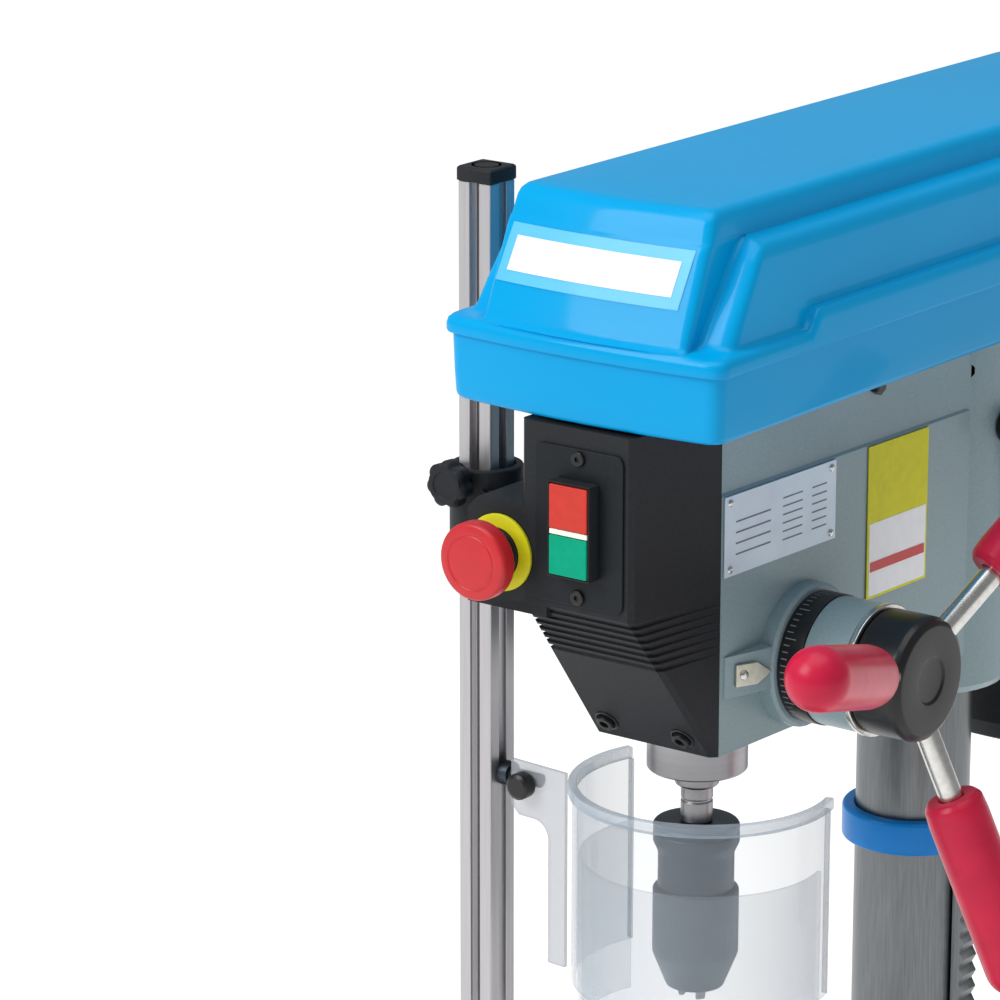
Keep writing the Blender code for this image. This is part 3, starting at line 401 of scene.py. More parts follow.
def hood_ring(z, side, side_front, ridge, ridge_front, back, bow, side_r, ridge_r, raised=0.0):
    """Housing outline at one height: side shoulders and a middle ridge that stands forward."""
    side_front = max(side_front, ridge_front)
    right = [(side, back), (side, side_front), (ridge, side_front), (ridge, ridge_front),
             (0.0, ridge_front)]
    points = []
    corner(points, right[0], (0.0, back), right[1], side_r)
    for y in (300.0, 200.0, 100.0, 30.0, 0.0, -10.0, -13.0, -16.5, -20.0, -26.0):
        points.append(Vector((side, y)))
    if side - ridge > 0.2:
        corner(points, right[1], right[0], right[2], side_r)
        corner(points, right[2], right[1], right[3], 3.0)
    else:
        count = len(points)
        corner(points, right[1], right[0], right[3], side_r)
        corner(points, right[2], right[1], right[3], 3.0)
        spread = len(points) - count
        reach = ridge_front + ridge_r + 0.5 - side_front
        for k in range(spread):
            points[count + k] = Vector((side, side_front + reach * (k + 1.0) / (spread + 1.0)))
    bend = len(points) - CORNER_STEPS
    corner(points, right[3], right[2] if side_front - ridge_front > 0.2 else right[1], right[4], ridge_r)
    if side - ridge > 0.2 and side_front - ridge_front < 0.2:
        edge = points[bend - 1].x
        count = len(points) - bend
        for k in range(count):
            points[bend + k] = Vector((edge + (ridge - ridge_r - edge) * (k + 1.0) / count, ridge_front))
    for k in range(1, 9):
        points.append(Vector((points[-1].x * (1 - k / 8.0) if k < 8 else 0.0, ridge_front)))
    first = 0
    while first < len(points) - 1:
        last = first
        while last + 1 < len(points) and (points[last + 1] - points[first]).length < 0.05:
            last += 1
        if first < last < len(points) - 1:
            for k in range(first + 1, last + 1):
                points[k] = points[first].lerp(points[last + 1], (k - first) / (last + 1.0 - first))
        first = last + 1
    mirrored = [Vector((-p.x, p.y)) for p in reversed(points[:-1])]
    ring = []
    for p in points + mirrored:
        reach = max(0.0, 1.0 - (p.x / max(side, 1.0)) ** 2)
        near = max(0.0, min(1.0, (side_front + 6.0 - p.y) / 12.0))
        lift = raised * max(0.0, min(1.0, (p.y + 20.0) / 7.0)) if abs(p.x) > side - 3.0 else 0.0
        ring.append((HOOD_X + p.x, p.y - bow * reach * near, z + lift))
    return ring


def fuse(parts, name):
    """Join open shells whose rims face each other into one closed wall."""
    whole = bmesh.new()
    for part in parts:
        scratch = to_mesh(part, "scratch")
        whole.from_mesh(scratch)
        bpy.data.meshes.remove(scratch)
    rims = [e for e in whole.edges if e.is_boundary]
    bmesh.ops.bridge_loops(whole, edges=rims)
    return to_mesh(whole, name)


def build_lid():
    s = SEAM
    back = LID_BACK - 1.8
    rise = 10.0
    rings = [
        hood_ring(s, 80.4, -95.0, 64.0, -95.0, back, 11.0, 11.0, 2.0),
        hood_ring(s + 1.2, 80.9, -95.5, 64.0, -95.5, back + 0.5, 11.0, 11.0, 2.0),
        hood_ring(s + 4.2, 80.9, -95.5, 64.0, -95.5, back + 0.5, 11.0, 11.0, 2.0, rise * 0.75),
        hood_ring(s + 6.4, 80.4, -95.0, 63.0, -95.0, back, 11.0, 11.0, 2.0, rise),
        hood_ring(s + 7.9, 79.0, -93.6, 61.0, -93.6, back - 1.4, 11.0, 10.0, 2.0, rise),
        hood_ring(s + 8.6, 77.6, -89.6, 59.6, -92.6, back - 3.0, 10.0, 10.0, 3.0, rise),
        hood_ring(s + 9.0, 75.8, -83.4, 59.0, -90.8, back - 5.0, 8.4, 9.0, 4.0, rise * 0.96),
        hood_ring(s + 9.9, 74.9, -80.8, 58.8, -89.6, back - 6.0, 7.5, 9.0, 5.0, rise * 0.9),
        hood_ring(s + 11.8, 74.5, -79.0, 58.7, -88.4, back - 6.5, 7.0, 9.0, 5.0, rise * 0.84),
        hood_ring(s + 22.0, 73.6, -72.5, 58.6, -84.8, back - 8.0, 6.6, 9.0, 5.0),
        hood_ring(262.0, 72.5, -63.0, 58.4, -80.0, back - 10.0, 6.0, 9.0, 5.0),
        hood_ring(273.0, 71.6, -55.5, 58.2, -76.0, back - 12.0, 5.5, 9.0, 5.0),
        hood_ring(276.6, 71.1, -52.6, 58.1, -74.7, back - 12.8, 5.2, 9.0, 5.0),
        hood_ring(279.4, 69.8, -50.0, 58.0, -73.7, back - 14.0, 5.0, 8.5, 5.0),
        hood_ring(281.2, 67.2, -47.8, 58.0, -73.0, back - 16.0, 5.0, 8.0, 5.0),
        hood_ring(282.4, 62.5, -45.6, 58.0, -72.6, back - 18.0, 5.0, 8.0, 5.0),
        hood_ring(283.2, 58.6, -44.0, 57.9, -72.3, back - 20.0, 5.0, 7.0, 5.0),
        hood_ring(285.2, 57.8, -44.0, 57.6, -71.6, back - 20.8, 4.8, 7.0, 5.0),
        hood_ring(291.8, 57.0, -44.0, 56.9, -69.4, back - 21.5, 4.4, 7.0, 5.0),
        hood_ring(294.8, 56.2, -44.0, 56.1, -67.6, back - 22.5, 4.2, 7.0, 5.0),
        hood_ring(296.8, 54.4, -44.0, 54.3, -65.0, back - 24.0, 4.0, 7.0, 5.0),
        hood_ring(LID_TOP, 51.4, -44.0, 51.3, -61.2, back - 27.0, 3.6, 7.0, 4.0),
        hood_ring(LID_TOP, 34.0, -30.0, 33.8, -36.0, back - 44.0, 1.0, 6.0, 4.0),
    ]
    room = [
        hood_ring(s, 77.0, -91.0, 58.0, -91.0, back - 3.4, 10.0, 8.0, 2.0),
        hood_ring(s + 5.0, 76.6, -90.4, 58.0, -90.4, back - 4.0, 9.0, 8.0, 2.0),
        hood_ring(s + 7.0, 71.2, -75.6, 55.6, -85.0, back - 10.0, 6.5, 7.0, 3.0),
        hood_ring(262.0, 69.2, -59.6, 55.0, -76.4, back - 13.0, 5.4, 7.0, 3.0),
        hood_ring(274.0, 68.2, -51.4, 54.8, -72.0, back - 15.0, 4.8, 7.0, 3.0),
        hood_ring(278.4, 56.0, -44.0, 54.6, -70.4, back - 22.0, 4.6, 6.0, 3.0),
        hood_ring(291.0, 53.8, -42.0, 53.6, -66.0, back - 25.0, 4.0, 6.0, 3.0),
        hood_ring(LID_TOP - 3.0, 50.6, -40.0, 50.4, -60.4, back - 29.0, 3.4, 6.0, 3.0),
        hood_ring(LID_TOP - 3.0, 32.0, -28.0, 31.8, -34.0, back - 46.0, 1.0, 6.0, 3.0),
    ]
    mesh = fuse([loft_bm(rings, False, True), loft_bm(room, False, True)], "lid_shell")
    lid = place("lid_shell", mesh, BLUE, "lid", "gloss_blue", ("belt_lid",), 46.0)
    even = lid.modifiers.new("even_normals", "WEIGHTED_NORMAL")
    even.keep_sharp = True


def build_tray():
    back = LID_BACK - 2.0
    t = TRAY_TOP

    def ring(half, front, rear, bow, z, radius=10.0):
        return hood_ring(z, half, front, half - 14.0, front, rear, bow, radius, 1.0)
    rings = [
        ring(73.6, -88.6, back - 5.2, 11.0, TRAY_LOW, 8.0),
        ring(75.4, -90.4, back - 3.4, 11.0, TRAY_LOW + 0.6, 9.0),
        ring(76.6, -91.6, back - 2.2, 11.0, TRAY_LOW + 1.8, 9.5),
        ring(77.1, -92.1, back - 1.7, 11.0, TRAY_LOW + 3.6),
        ring(77.6, -92.6, back - 1.2, 11.0, TRAY_LOW + 14.0),
        ring(78.1, -93.1, back - 0.8, 11.0, t),
        ring(75.6, -90.6, back - 3.4, 11.0, t),
        ring(75.0, -90.0, back - 4.0, 11.0, TRAY_LOW + 12.0),
        ring(74.4, -89.4, back - 4.6, 11.0, TRAY_LOW + 3.6),
    ]
    mesh = to_mesh(loft_bm(rings), "tray_shell")
    tray = place("tray_shell", mesh, BLUE, "frame", "gloss_blue", ("belt_tray",), 46.0)
    motor_y = joint_at("motor_spin").y
    for x, y, r, ry in ((0.0, 0.0, 23.0, 23.0), (0.0, motor_y - 6.0, 19.0, 26.0)):
        cutter = bmesh.new()
        loops = []
        for z in (TRAY_LOW - 5.0, TRAY_LOW + 8.0):
            loops.append([cutter.verts.new(spot(x + r * math.cos(a * math.tau / 48),
                                                y + ry * math.sin(a * math.tau / 48), z))
                          for a in range(48)])
        for k in range(48):
            n = (k + 1) % 48
            cutter.faces.new((loops[0][k], loops[0][n], loops[1][n], loops[1][k]))
        cutter.faces.new(loops[0])
        cutter.faces.new(loops[1])
        tool = bpy.data.objects.new("hole_tool", to_mesh(cutter, "hole_tool"))
        bpy.context.scene.collection.objects.link(tool)
        mod = tray.modifiers.new("hole", "BOOLEAN")
        mod.object = tool
        mod.solver = "EXACT"
        graph = bpy.context.evaluated_depsgraph_get()
        done = bpy.data.meshes.new_from_object(tray.evaluated_get(graph))
        tray.modifiers.clear()
        tray.data = done
        bpy.data.objects.remove(tool)


def build_decal():
    """Plain two-tone panel on the sloping front of the lid."""
    corners = ((-59.5, 254.0), (46.0, 254.0), (48.4, 280.5), (-56.0, 280.5))
    for name, inset, lift, material in (("front_decal", 0.0, 0.35, PALE_BLUE),
                                        ("front_decal_band", 1.0, 0.6, WHITE)):
        grid = []
        steps = 24
        for row in range(7):
            v = row / 6.0 * (1.0 - 0.40 * inset) + 0.20 * inset
            points = []
            for k in range(steps + 1):
                u = k / steps * (1.0 - 0.10 * inset) + 0.05 * inset
                lower = corners[0][0] * (1 - u) + corners[1][0] * u
                upper = corners[3][0] * (1 - u) + corners[2][0] * u
                x = lower * (1 - v) + upper * v
                z = corners[0][1] * (1 - v) + corners[3][1] * v
                points.append((x, ridge_face(x - HOOD_X, z) - lift, z))
            grid.append(points)
        bm = bmesh.new()
        verts = [[bm.verts.new(spot(*p)) for p in row] for row in grid]
        for low, high in zip(verts, verts[1:]):
            for k in range(steps):
                bm.faces.new((low[k], low[k + 1], high[k + 1], high[k]))
        place(name, to_mesh(bm, name), material, "lid")


def ridge_face(x, z):
    """Depth of the lid's sloping front at a place on it."""
    levels = ((238.8, -88.4, 7.0, 74.5), (249.0, -84.8, 6.6, 73.6), (262.0, -80.0, 6.0, 72.5),
              (273.0, -76.0, 5.5, 71.6),
              (276.6, -74.7, 5.2, 71.1), (279.4, -73.7, 5.0, 69.8), (285.2, -71.6, 4.8, 57.8))
    for low, high in zip(levels, levels[1:]):
        if z <= high[0] or high is levels[-1]:
            t = (z - low[0]) / (high[0] - low[0])
            front, bow, side = [low[k] * (1 - t) + high[k] * t for k in (1, 2, 3)]
            return front - bow * max(0.0, 1.0 - (x / side) ** 2)


# ---- head --------------------------------------------------------------------------------
def build_head():
    refine("head_casting", HAMMER, 1.4, 3)
    refine("front_cover", BLACK, 0.7, 2, 30.0)
    refine("switch_panel", PANEL, 0.5, 3)
    refine("switch_housing", BLACK, 0.7, 3)
    refine("button_off", RED, 0.6, 3)
    refine("button_on", GREEN, 0.6, 3)
    refine("lamp_strip", LAMP, 0.4, 2)
    refine("post_holder", BLACK, 1.0, 3)
    refine("spring_cap", BLACK, 0.8, 2)
    refine("cable_gland", BLACK, 0.4, 2)
    refine("pointer", BRASS, 0.4, 2)
    refine("nameplate", FOIL, 0.2, 2)
    refine("warning_plate", YELLOW, 0.2, 2)
    screws = []
    low, high = [local(p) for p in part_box("switch_panel")]
    mid = (low.x + high.x) / 2.0
    for z in (low.z + 4.6, high.z - 4.6):
        screws.append(lathe_bm([(1.3, 0.4), (1.3, 1.7), (3.4, 1.7), (3.7, 1.2), (3.7, -0.2), (0.0, -0.2),
                                (0.0, 0.4)],
                               (mid, low.y, z), FRONT, 30, True, 0.3))
    join_pieces("panel_screws", screws, DARK, "frame")
    slope = Vector((0.0, -81.5, -60.6)).normalized()
    sockets = []
    for x in (-22.5, 22.3):
        z = 31.5
        y = -37.4 - (z - 21.5) * 60.6 / 81.5
        at = Vector((x, y, z))
        sockets.append(lathe_bm([(2.4, -0.2), (2.4, 3.2), (4.2, 3.2), (4.6, 2.7), (4.6, -0.4), (0.0, -0.4),
                                 (0.0, -0.2)], at, slope, 36, True, 0.3))
        sockets.append(lathe_bm([(5.2, -0.5), (6.4, -0.5), (6.4, 0.7), (5.6, 0.9), (5.2, 0.7)], at, slope,
                                36, True, 0.2))
    join_pieces("cover_screws", sockets, DARK, "frame")
    rivet_at = Vector((36.8, -31.0, 60.9)) + Vector((8.0, 27.0, 0.0)).normalized() * 10.5
    out = Vector((27.0, -8.0, 0.0)).normalized()
    place("pointer_rivet", to_mesh(lathe_bm([(0.0, 1.6), (2.6, 1.6), (2.4, 2.6), (1.4, 3.3), (0.0, 3.5)],
                                            rivet_at, out, 32, False, 0.3),
                                   "pointer_rivet"), BRIGHT, "frame")
    tray_bolt = [(0.0, 0.0), (4.6, 0.0), (4.6, 3.6), (3.6, 4.4), (0.0, 4.4)]
    place("tray_bolt", to_mesh(lathe_bm(tray_bolt, (36.0 + 0.0367 * 127.0 - 1.2, 93.0, 181.0), X_AXIS, 6,
                                        False, 0.0), "tray_bolt"),
          DARK, "frame")


def build_stop_button():
    at = joint_at_node("estop_button")
    cap = [(0.0, 0.6), (8.0, 0.6), (8.0, 8.9), (11.6, 9.1), (16.0, 12.5), (18.7, 13.9), (19.15, 15.4),
           (19.15, 21.2), (18.4, 23.2),
           (14.0, 23.8), (13.2, 23.2), (12.4, 23.8), (0.0, 23.85)]
    lathe("stop_mushroom", cap, at, FRONT, MUSHROOM, "stop_button", slot="red_mushroom",
          replaces=("estop_button",), segments=96, soft=1.0)
    ring = [(12.7, 0.3), (18.9, 0.3), (18.9, 2.0), (12.7, 3.3)]
    lathe("stop_ring", ring, at, FRONT, YELLOW, "frame", slot="yellow", replaces=("estop_ring",),
          segments=96, ring=True, soft=0.3)
    collar = [(8.3, 0.3), (12.4, 0.3), (12.4, 3.9), (11.6, 4.4), (8.3, 4.4)]
    lathe("stop_collar", collar, at, FRONT, BLACK, "frame", segments=64, ring=True, soft=0.3)


def joint_at_node(node):
    low, high = [local(p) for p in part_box(node)]
    centre = (low + high) / 2.0
    if node == "estop_button":
        centre.y = local(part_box("front_cover")[0]).y
    return centre


# ---- quill, chuck, feed ------------------------------------------------------------------
def build_quill():
    quill = [(10.4, 0.0), (24.0, 0.0), (25.0, 1.0), (25.0, 160.0), (10.4, 160.0)]
    lathe("quill_sleeve", quill, (0, 0, 0), Z_AXIS, TURNED, "quill", slot="steel", replaces=("quill",),
          segments=96, ring=True, soft=0.4)
    spindle = [(0.0, -50.0), (6.4, -50.0), (7.2, -27.6), (8.0, -27.2), (8.0, -17.0), (7.4, -16.6),
               (7.4, -15.6), (8.0, -15.2),
               (8.0, -9.4), (10.2, -8.6), (11.0, -7.6), (11.0, -0.3), (10.0, -0.3), (10.0, 282.0),
               (0.0, 282.0)]
    lathe("spindle_nose", spindle, (0, 0, 0), Z_AXIS, TURNED, "spindle", slot="steel",
          replaces=("spindle",), segments=72, soft=0.3)
    top = [(7.5, -28.0), (20.4, -28.0), (21.5, -29.2), (21.5, -31.4), (21.1, -31.8), (21.1, -32.8),
           (21.5, -33.2), (21.5, -38.0),
           (19.4, -42.6), (19.0, -44.0), (19.0, -61.5), (12.0, -61.5), (12.0, -72.0), (0.0, -72.0),
           (0.0, -52.0), (6.8, -52.0)]
    lathe("chuck_top", top, (0, 0, 0), Z_AXIS, BLUED, "spindle", slot="dark_steel",
          replaces=("chuck_body",), segments=96, ring=True, soft=0.5)
    sleeve = [(12.4, -62.0), (20.4, -62.0), (21.5, -63.2), (21.5, -96.0), (20.2, -99.4), (14.4, -113.6),
              (12.4, -114.0)]
    lathe("chuck_lower_sleeve", sleeve, (0, 0, 0), Z_AXIS, BLUED, "chuck_sleeve", slot="dark_steel",
          replaces=("chuck_sleeve",),
          segments=96, ring=True, soft=0.6, lobes=36, lobe=0.35, lobe_from=21.2)
    for k in (1, 2, 3):
        refine("chuck_jaw_%d" % k, STEEL, 0.3, 2)


def build_feed():
    axis = joint_at("feed_turn")
    low, high = [local(p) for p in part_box("depth_dial")]
    r = (high.y - low.y) / 2.0 + 0.08
    dial = [(9.4, low.x), (r - 0.5, low.x), (r, low.x + 0.6), (r, high.x), (9.4, high.x)]
    lathe("dial_ring", dial, axis, X_AXIS, SATIN, "dial", slot="black_metal", replaces=("depth_dial",),
          segments=120, ring=True, soft=0.4)
    low2, high2 = [local(p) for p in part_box("feed_collar")]
    trim = high2.x - 3.5
    collar = [(9.4, low2.x), (r - 0.6, low2.x), (r - 0.6, trim - 0.3), (26.0, trim - 0.3),
              (26.0, trim + 0.1), (9.4, trim + 0.1)]
    lathe("feed_ring", collar, axis, X_AXIS, HAMMER, "feed", slot="hammer_grey", replaces=("feed_collar",),
          segments=120, ring=True, soft=0.3)
    band = [(12.0, trim + 0.4), (r + 0.3, trim + 0.4), (r + 0.3, high2.x), (12.0, high2.x)]
    lathe("feed_trim", band, axis, X_AXIS, BRIGHT, "feed", segments=120, ring=True, soft=0.6)
    low3, high3 = [local(p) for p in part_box("lever_hub")]
    hub = [(0.0, low3.x), (30.2, low3.x), (31.0, low3.x + 0.8), (31.0, high3.x - 5.0),
           (30.0, high3.x - 2.0), (27.0, high3.x),
           (12.0, high3.x), (11.0, high3.x - 1.0), (0.0, high3.x - 1.0)]
    lathe("hub_body", hub, axis, X_AXIS, SATIN, "feed", slot="black_metal", replaces=("lever_hub",),
          segments=96, soft=0.8)
    ticks = []
    for k in range(60):
        a = math.radians(6.0 * k)
        long = 6.0 if k % 5 == 0 else 3.4
        u = Vector((0, math.cos(a), math.sin(a)))
        side = Vector((0, -math.sin(a), math.cos(a)))
        bm = bmesh.new()
        verts = []
        for h in (r - 0.3, r + 0.06):
            for x, t in ((low.x + 2.0, -0.22), (low.x + 2.0 + long, -0.22), (low.x + 2.0 + long, 0.22),
                         (low.x + 2.0, 0.22)):
                p = Vector((x, axis.y, axis.z)) + u * h + side * t
                verts.append(bm.verts.new(spot(*p)))
        for f in ((0, 1, 2, 3), (4, 5, 6, 7), (0, 1, 5, 4), (1, 2, 6, 5), (2, 3, 7, 6), (3, 0, 4, 7)):
            bm.faces.new([verts[i] for i in f])
        ticks.append(bm)
    join_pieces("dial_marks", ticks, MARK, "dial")
    shaft = [local(p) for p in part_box("feed_shaft")]
    core = [(0.0, shaft[0].x), (8.2, shaft[0].x), (8.8, shaft[0].x + 0.6), (8.8, -27.0), (6.2, -27.0),
            (6.2, 27.0),
            (8.8, 27.0), (8.8, shaft[1].x), (0.0, shaft[1].x)]
    lathe("feed_core", core, axis, X_AXIS, STEEL, "feed", slot="steel", replaces=("feed_shaft",),
          segments=40, soft=0.2)
    for k in (1, 2, 3):
        build_lever(k, axis)


def build_lever(k, axis):
    """Lever and grip in the direction of the CAD ones."""
    low, high = [local(p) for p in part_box("lever_hub")]
    a = math.radians(17.0 + 120.0 * (k - 1))
    way = Vector((0.3, -math.cos(a), math.sin(a))).normalized()
    root = Vector((high.x - 15.0, axis.y, axis.z))
    rod = [(0.0, 12.6), (6.0, 12.6), (6.0, 139.0), (0.0, 139.0)]
    lathe("lever_rod_%d" % k, rod, root, way, BRIGHT, "feed", slot="steel", replaces=("lever_%d" % k,),
          segments=40, soft=0.4)
    end, r = 160.0, 15.4
    grip = [(6.4, 66.5), (12.4, 66.5), (14.8, 69.5), (r, 77.0), (r, end)]
    for s in range(1, 13):
        b = math.radians(7.5 * s)
        grip.append((r * math.cos(b) if s < 12 else 0.0, end + r * math.sin(b)))
    grip += [(0.0, 141.4), (6.4, 141.4)]
    lathe("lever_grip_%d" % k, grip, root, way, GRIP, "feed", slot="crimson_grip",
          replaces=("grip_%d" % k,), segments=72, ring=True, soft=0.8)


# ---- column, base, table -----------------------------------------------------------------
def build_stand():
    column_y = joint_at("carrier_swing").y
    low, high = [local(p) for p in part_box("column")]
    tube = [(26.5, low.z), (30.0, low.z), (30.0, high.z), (26.5, high.z)]
    lathe("column_tube", tube, (0, column_y, 0), Z_AXIS, STEEL, "frame", slot="steel", replaces=("column",),
          segments=120, ring=True, soft=0.4)
    low, high = [local(p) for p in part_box("rack_collar")]
    ring = [(30.4, low.z), (36.4, low.z), (37.0, low.z + 1.0), (37.0, high.z - 1.4), (35.8, high.z),
            (30.4, high.z)]
    lathe("collar_ring", ring, (0, column_y, 0), Z_AXIS, COLLAR_BLUE, "frame", slot="collar_blue",
          replaces=("rack_collar",),
          segments=120, ring=True, soft=0.8)
    refine("base", HAMMER, 2.0, 3)
    refine("column_flange", HAMMER, 1.5, 3)
    refine("rack", STEEL, 0.25, 1)
    refine("table_bracket", HAMMER, 1.2, 3)
    refine("table", CAST, 0.8, 2)
    refine("table_crank", SATIN, 0.8, 2)
    refine("crank_grip", BLACK, 0.8, 2)
    refine("column_lock", SATIN, 0.5, 2)
    bolts = []
    top = -596.0
    for k in range(4):
        a = math.radians(45.0 + 90.0 * k)
        bolts += hex_bolt((56.0 * math.cos(a), column_y + 56.0 * math.sin(a), top), Z_AXIS, 13.0, 7.0, 1.6)
    join_pieces("flange_bolts", bolts, BRIGHT, "frame")
    tilt = joint_at("table_tilt")
    join_pieces("tilt_bolt", hex_bolt((tilt.x, tilt.y - 20.2, tilt.z), FRONT, 17.0, 9.0, 2.4), BRIGHT,
                "table")


# ---- motor and drive ---------------------------------------------------------------------
def build_drive():
    motor_y = joint_at("motor_spin").y
    refine("spindle_pulley", ALU, 0.4, 2)
    refine("motor_pulley", ALU, 0.4, 2)
    refine("motor_shaft", STEEL, 0.3, 2)
    refine("drive_belt", RUBBER, 0.4, 2)
    refine("motor", SATIN, 1.2, 2)
    refine("motor_cowl", BLACK, 0.8, 2)
    refine("motor_box", BLACK, 1.2, 3)
    refine("motor_plate", HAMMER, 1.0, 2)
    refine("tension_lever", SATIN, 0.5, 2)
    slots = []
    for k in range(24):
        a = math.tau * k / 24
        u = Vector((math.cos(a), math.sin(a), 0))
        side = Vector((-u.y, u.x, 0))
        bm = bmesh.new()
        verts = []
        for z in (-10.0, 136.0):
            for r, t in ((58.5, -1.2), (62.2, -0.8), (62.2, 0.8), (58.5, 1.2)):
                p = Vector((0, motor_y, z)) + u * r + side * t
                verts.append(bm.verts.new(spot(*p)))
        for f in ((0, 1, 2, 3), (4, 5, 6, 7), (0, 1, 5, 4), (1, 2, 6, 5), (2, 3, 7, 6), (3, 0, 4, 7)):
            bm.faces.new([verts[i] for i in f])
        if u.y > -0.75 and u.x < 0.88:
            slots.append(bm)
        else:
            bm.free()
    join_pieces("motor_fins", slots, SATIN, "motor_unit")


# ---- chuck guard -------------------------------------------------------------------------
GUARD_X = 4.0
GUARD_R = 65.0


def arc_points(outer, inner, first, last, steps=72):
    points = []
    for radius, order in ((outer, range(steps + 1)), (inner, range(steps, -1, -1))):
        for k in order:
            a = math.radians(first + (last - first) * k / steps)
            points.append((GUARD_X + radius * math.cos(a), radius * math.sin(a)))
    return points


def tail_outline(low, high):
    """Outline of the guard's fixing plate, with the cut-away lower corner rounded."""
    points = [(-93.4, high), (-58.0, high), (-58.0, low), (-69.0, low)]
    for k in range(9):
        points.append((-69.0 - 9.0 + 9.0 * math.cos(math.radians(90.0 * k / 8.0)),
                       -45.0 + 9.0 * math.sin(math.radians(90.0 * k / 8.0))))
    points.append((-88.4, -36.0))
    points.append((-93.4, -31.0))
    return points


def build_guard():
    low, high = [local(p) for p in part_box("guard_shield")]
    wall = arc_points(GUARD_R, GUARD_R - 2.4, 17.0, -200.5)
    rim = arc_points(GUARD_R + 2.0, GUARD_R - 2.6, 16.8, -200.7)
    parts = [loft_bm([[(x, y, z) for x, y in wall] for z in (low.z, high.z - 6.0)])]
    tail = []
    for x, z in tail_outline(low.z, high.z - 0.5):
        t = max(0.0, (x + 93.4) / 34.4)
        tail.append((x, -28.4 - 2.6 * t, z))
    front = bmesh.new()
    near = [front.verts.new(spot(x, y, z)) for x, y, z in tail]
    far = [front.verts.new(spot(x, y + 2.6, z)) for x, y, z in tail]
    front.faces.new(near)
    front.faces.new(far)
    for k in range(len(near)):
        n = (k + 1) % len(near)
        front.faces.new((near[k], near[n], far[n], far[k]))
    join_pieces("guard_plate", [front], CLEAR_TAIL, "guard", slot="clear", replaces=("guard_shield",),
                bevel=0.3)
    join_pieces("guard_wall", parts, CLEAR, "guard", slot="clear", replaces=("guard_shield",), bevel=0.3)
    edge_parts = []
    for end in (17.0, -200.5):
        a = math.radians(end)
        c = Vector((GUARD_X + (GUARD_R - 1.2) * math.cos(a), (GUARD_R - 1.2) * math.sin(a)))
        edge_parts.append(box_bm(c.x - 1.5, c.x + 1.5, c.y - 0.4, c.y + 0.4, low.z + 0.5, high.z - 6.2))
    join_pieces("guard_wall_ends", edge_parts, CLEAR_DARK, "guard")
    edges = [loft_bm([[(x, y, z) for x, y in rim] for z in (high.z - 6.0, high.z)])]
    join_pieces("guard_rim", edges, CLEAR_EDGE, "guard", bevel=0.8, segments=3)
    low2, high2 = [local(p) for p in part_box("guard_extension")]
    lower_wall = arc_points(GUARD_R - 3.2, GUARD_R - 5.4, 15.0, -198.7)
    join_pieces("guard_slide", [loft_bm([[(x, y, z) for x, y in lower_wall] for z in (low2.z, high2.z)])],
                CLEAR, "extension",
                slot="clear", replaces=("guard_extension",), bevel=0.4)
    refine("guard_post", ALU, 0.35, 2)
    refine("post_cap", BLACK, 0.5, 2)
    cap_low, cap_high = [local(p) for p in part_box("post_cap")]
    middle = (cap_low + cap_high) / 2.0
    lathe("cap_ring", [(5.4, -0.4), (8.2, -0.4), (8.2, 0.0), (7.6, 0.35), (6.0, 0.35), (5.4, 0.0)],
          (middle.x, middle.y, cap_high.z - 0.35),
          Z_AXIS, BLACK, "post", segments=48, ring=True, soft=0.1)
    refine("guard_clamp", BLUED, 0.4, 2)
    refine("guard_screw", DARK, 0.4, 2)
    knob_at = joint_at("post_knob_turn")
    knob = [(0.0, 19.2), (4.0, 19.2), (4.0, 23.2), (10.2, 24.2), (12.0, 26.0), (12.3, 32.6), (10.4, 34.8),
            (7.0, 35.0), (6.4, 34.2), (0.0, 34.2)]
    lathe("holder_star_knob", knob, knob_at, FRONT, BLACK, "post_knob", slot="black_plastic",
          replaces=("holder_knob",), segments=84,
          soft=0.9, lobes=7, lobe=1.9, lobe_from=10.0)


# ---- labels ------------------------------------------------------------------------------
FLANK_SLOPE = 0.0367     # how much the head widens to the rear, per side


def on_flank(y, z0, z1, y1, lift):
    """Thin raised patch on the flared right side of the head."""
    def x_at(at):
        return 36.0 + FLANK_SLOPE * (at + 34.0) + lift
    bm = bmesh.new()
    verts = []
    for extra in (-0.15, 0.0):
        for yy, zz in ((y, z0), (y1, z0), (y1, z1), (y, z1)):
            verts.append(bm.verts.new(spot(x_at(yy) + extra, yy, zz)))
    for f in ((0, 1, 2, 3), (4, 5, 6, 7), (0, 1, 5, 4), (1, 2, 6, 5), (2, 3, 7, 6), (3, 0, 4, 7)):
        bm.faces.new([verts[i] for i in f])
    return bm


def build_labels():
    face = 1.1 + 0.12
    lines = []
    for row in range(6):
        z = 140.5 - 4.2 * row
        lines.append(on_flank(14.0, z, z + 0.7, 30.0, face))
        lines.append(on_flank(38.0, z, z + 0.7, 50.0, face))
    for row in range(4):
        z = 137.0 - 5.4 * row
        lines.append(on_flank(-24.0, z, z + 0.8, 4.0, face))
    join_pieces("nameplate_lines", lines, PRINT, "frame")
    rivets = []
    for y, z in ((-28.5, 114.5), (-28.5, 147.5), (54.0, 114.5), (54.0, 147.5)):
        rivets.append(lathe_bm([(0.0, 0.0), (2.0, 0.0), (1.7, 0.8), (0.9, 1.2), (0.0, 1.3)],
                               (36.0 + 0.0367 * (y + 34.0) + 1.0, y, z), X_AXIS, 24, False, 0.2))
    join_pieces("nameplate_rivets", rivets, BRIGHT, "frame")
    patches = [on_flank(87.5, 73.5, 111.0, 136.5, 1.05)]
    join_pieces("side_label_white", patches, WHITE, "frame")
    join_pieces("side_label_red", [on_flank(88.5, 86.0, 91.0, 135.5, 1.25)], RED_PRINT,
                "frame")


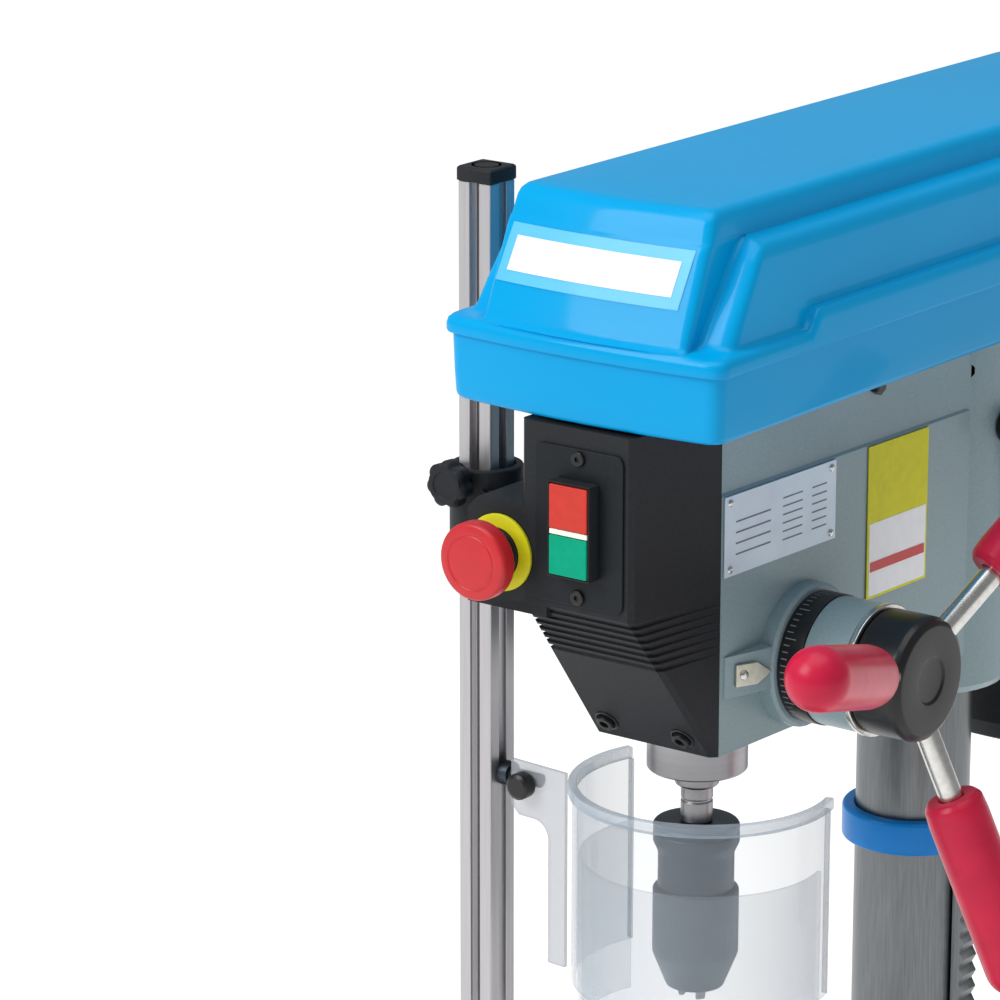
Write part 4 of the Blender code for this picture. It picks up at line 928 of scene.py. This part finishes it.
# ---- studio ------------------------------------------------------------------------------
def build_studio():
    scene = bpy.context.scene
    scene.view_settings.view_transform = "Standard"
    world = bpy.data.worlds.new("studio")
    scene.world = world
    world.use_nodes = True
    world.node_tree.nodes["Background"].inputs["Color"].default_value = (0.94, 0.97, 1.0, 1.0)
    world.node_tree.nodes["Background"].inputs["Strength"].default_value = 0.3
    bm = bmesh.new()
    bmesh.ops.create_grid(bm, x_segments=2, y_segments=2, size=14.0)
    floor_mesh = bpy.data.meshes.new("floor")
    bm.to_mesh(floor_mesh)
    bm.free()
    floor = bpy.data.objects.new("floor", floor_mesh)
    floor.location = (0.0, 0.0, cad_box[0].z - 0.0005)
    scene.collection.objects.link(floor)
    pale = surface("floor_pale", (0.5, 0.5, 0.5), 0.8, vary=0.01, vary_scale=2.0, bump=0.02,
                   bump_scale=80.0, specular=0.1)
    glow = pale.node_tree.nodes["Principled BSDF"].inputs
    glow["Emission Color"].default_value = (1.0, 1.0, 1.0, 1.0)
    glow["Emission Strength"].default_value = 0.84
    floor_mesh.materials.append(pale)
    lights = (
        ("key", (-1.2, -2.6, 2.9), 1.8, 78.0),
        ("over", (0.0, -0.3, 3.4), 2.4, 40.0),
    )
    aim = ORIGIN + Vector((0.0, 0.05, 0.1))
    for name, where, size, power in lights:
        data = bpy.data.lights.new(name, "AREA")
        data.size = size
        data.energy = power
        lamp = bpy.data.objects.new(name, data)
        lamp.location = where
        lamp.rotation_mode = "QUATERNION"
        lamp.rotation_quaternion = (aim - Vector(where)).to_track_quat("-Z", "Y")
        scene.collection.objects.link(lamp)


def build_camera():
    """Seen from front right and above; the spindle nose stands at a set place in the frame."""
    azimuth, pitch = math.radians(37.2), math.radians(15.8)
    distance = 2.35
    focal = 171.76
    sensor = 36.0
    right = Vector((math.cos(azimuth), math.sin(azimuth), 0.0))
    ahead = Vector((-math.sin(azimuth) * math.cos(pitch), math.cos(azimuth) * math.cos(pitch),
                    -math.sin(pitch)))
    up = right.cross(ahead)
    across = 0.1972 * sensor / focal
    down = 0.2665 * sensor / focal
    data = bpy.data.cameras.new("camera")
    data.lens = focal
    data.sensor_width = sensor
    data.clip_start = 0.05
    data.clip_end = 60.0
    cam = bpy.data.objects.new("camera", data)
    cam.matrix_world = Matrix((
        (right.x, up.x, -ahead.x, 0.0), (right.y, up.y, -ahead.y, 0.0), (right.z, up.z, -ahead.z, 0.0),
                               (0.0, 0.0, 0.0, 1.0)))
    cam.location = ORIGIN - (right * across - up * down + ahead) * distance
    bpy.context.scene.collection.objects.link(cam)
    bpy.context.scene.camera = cam


def main():
    build_camera()
    build_studio()
    build_lid()
    build_tray()
    build_decal()
    build_head()
    build_stop_button()
    build_quill()
    build_feed()
    build_stand()
    build_drive()
    build_guard()
    build_labels()


main()
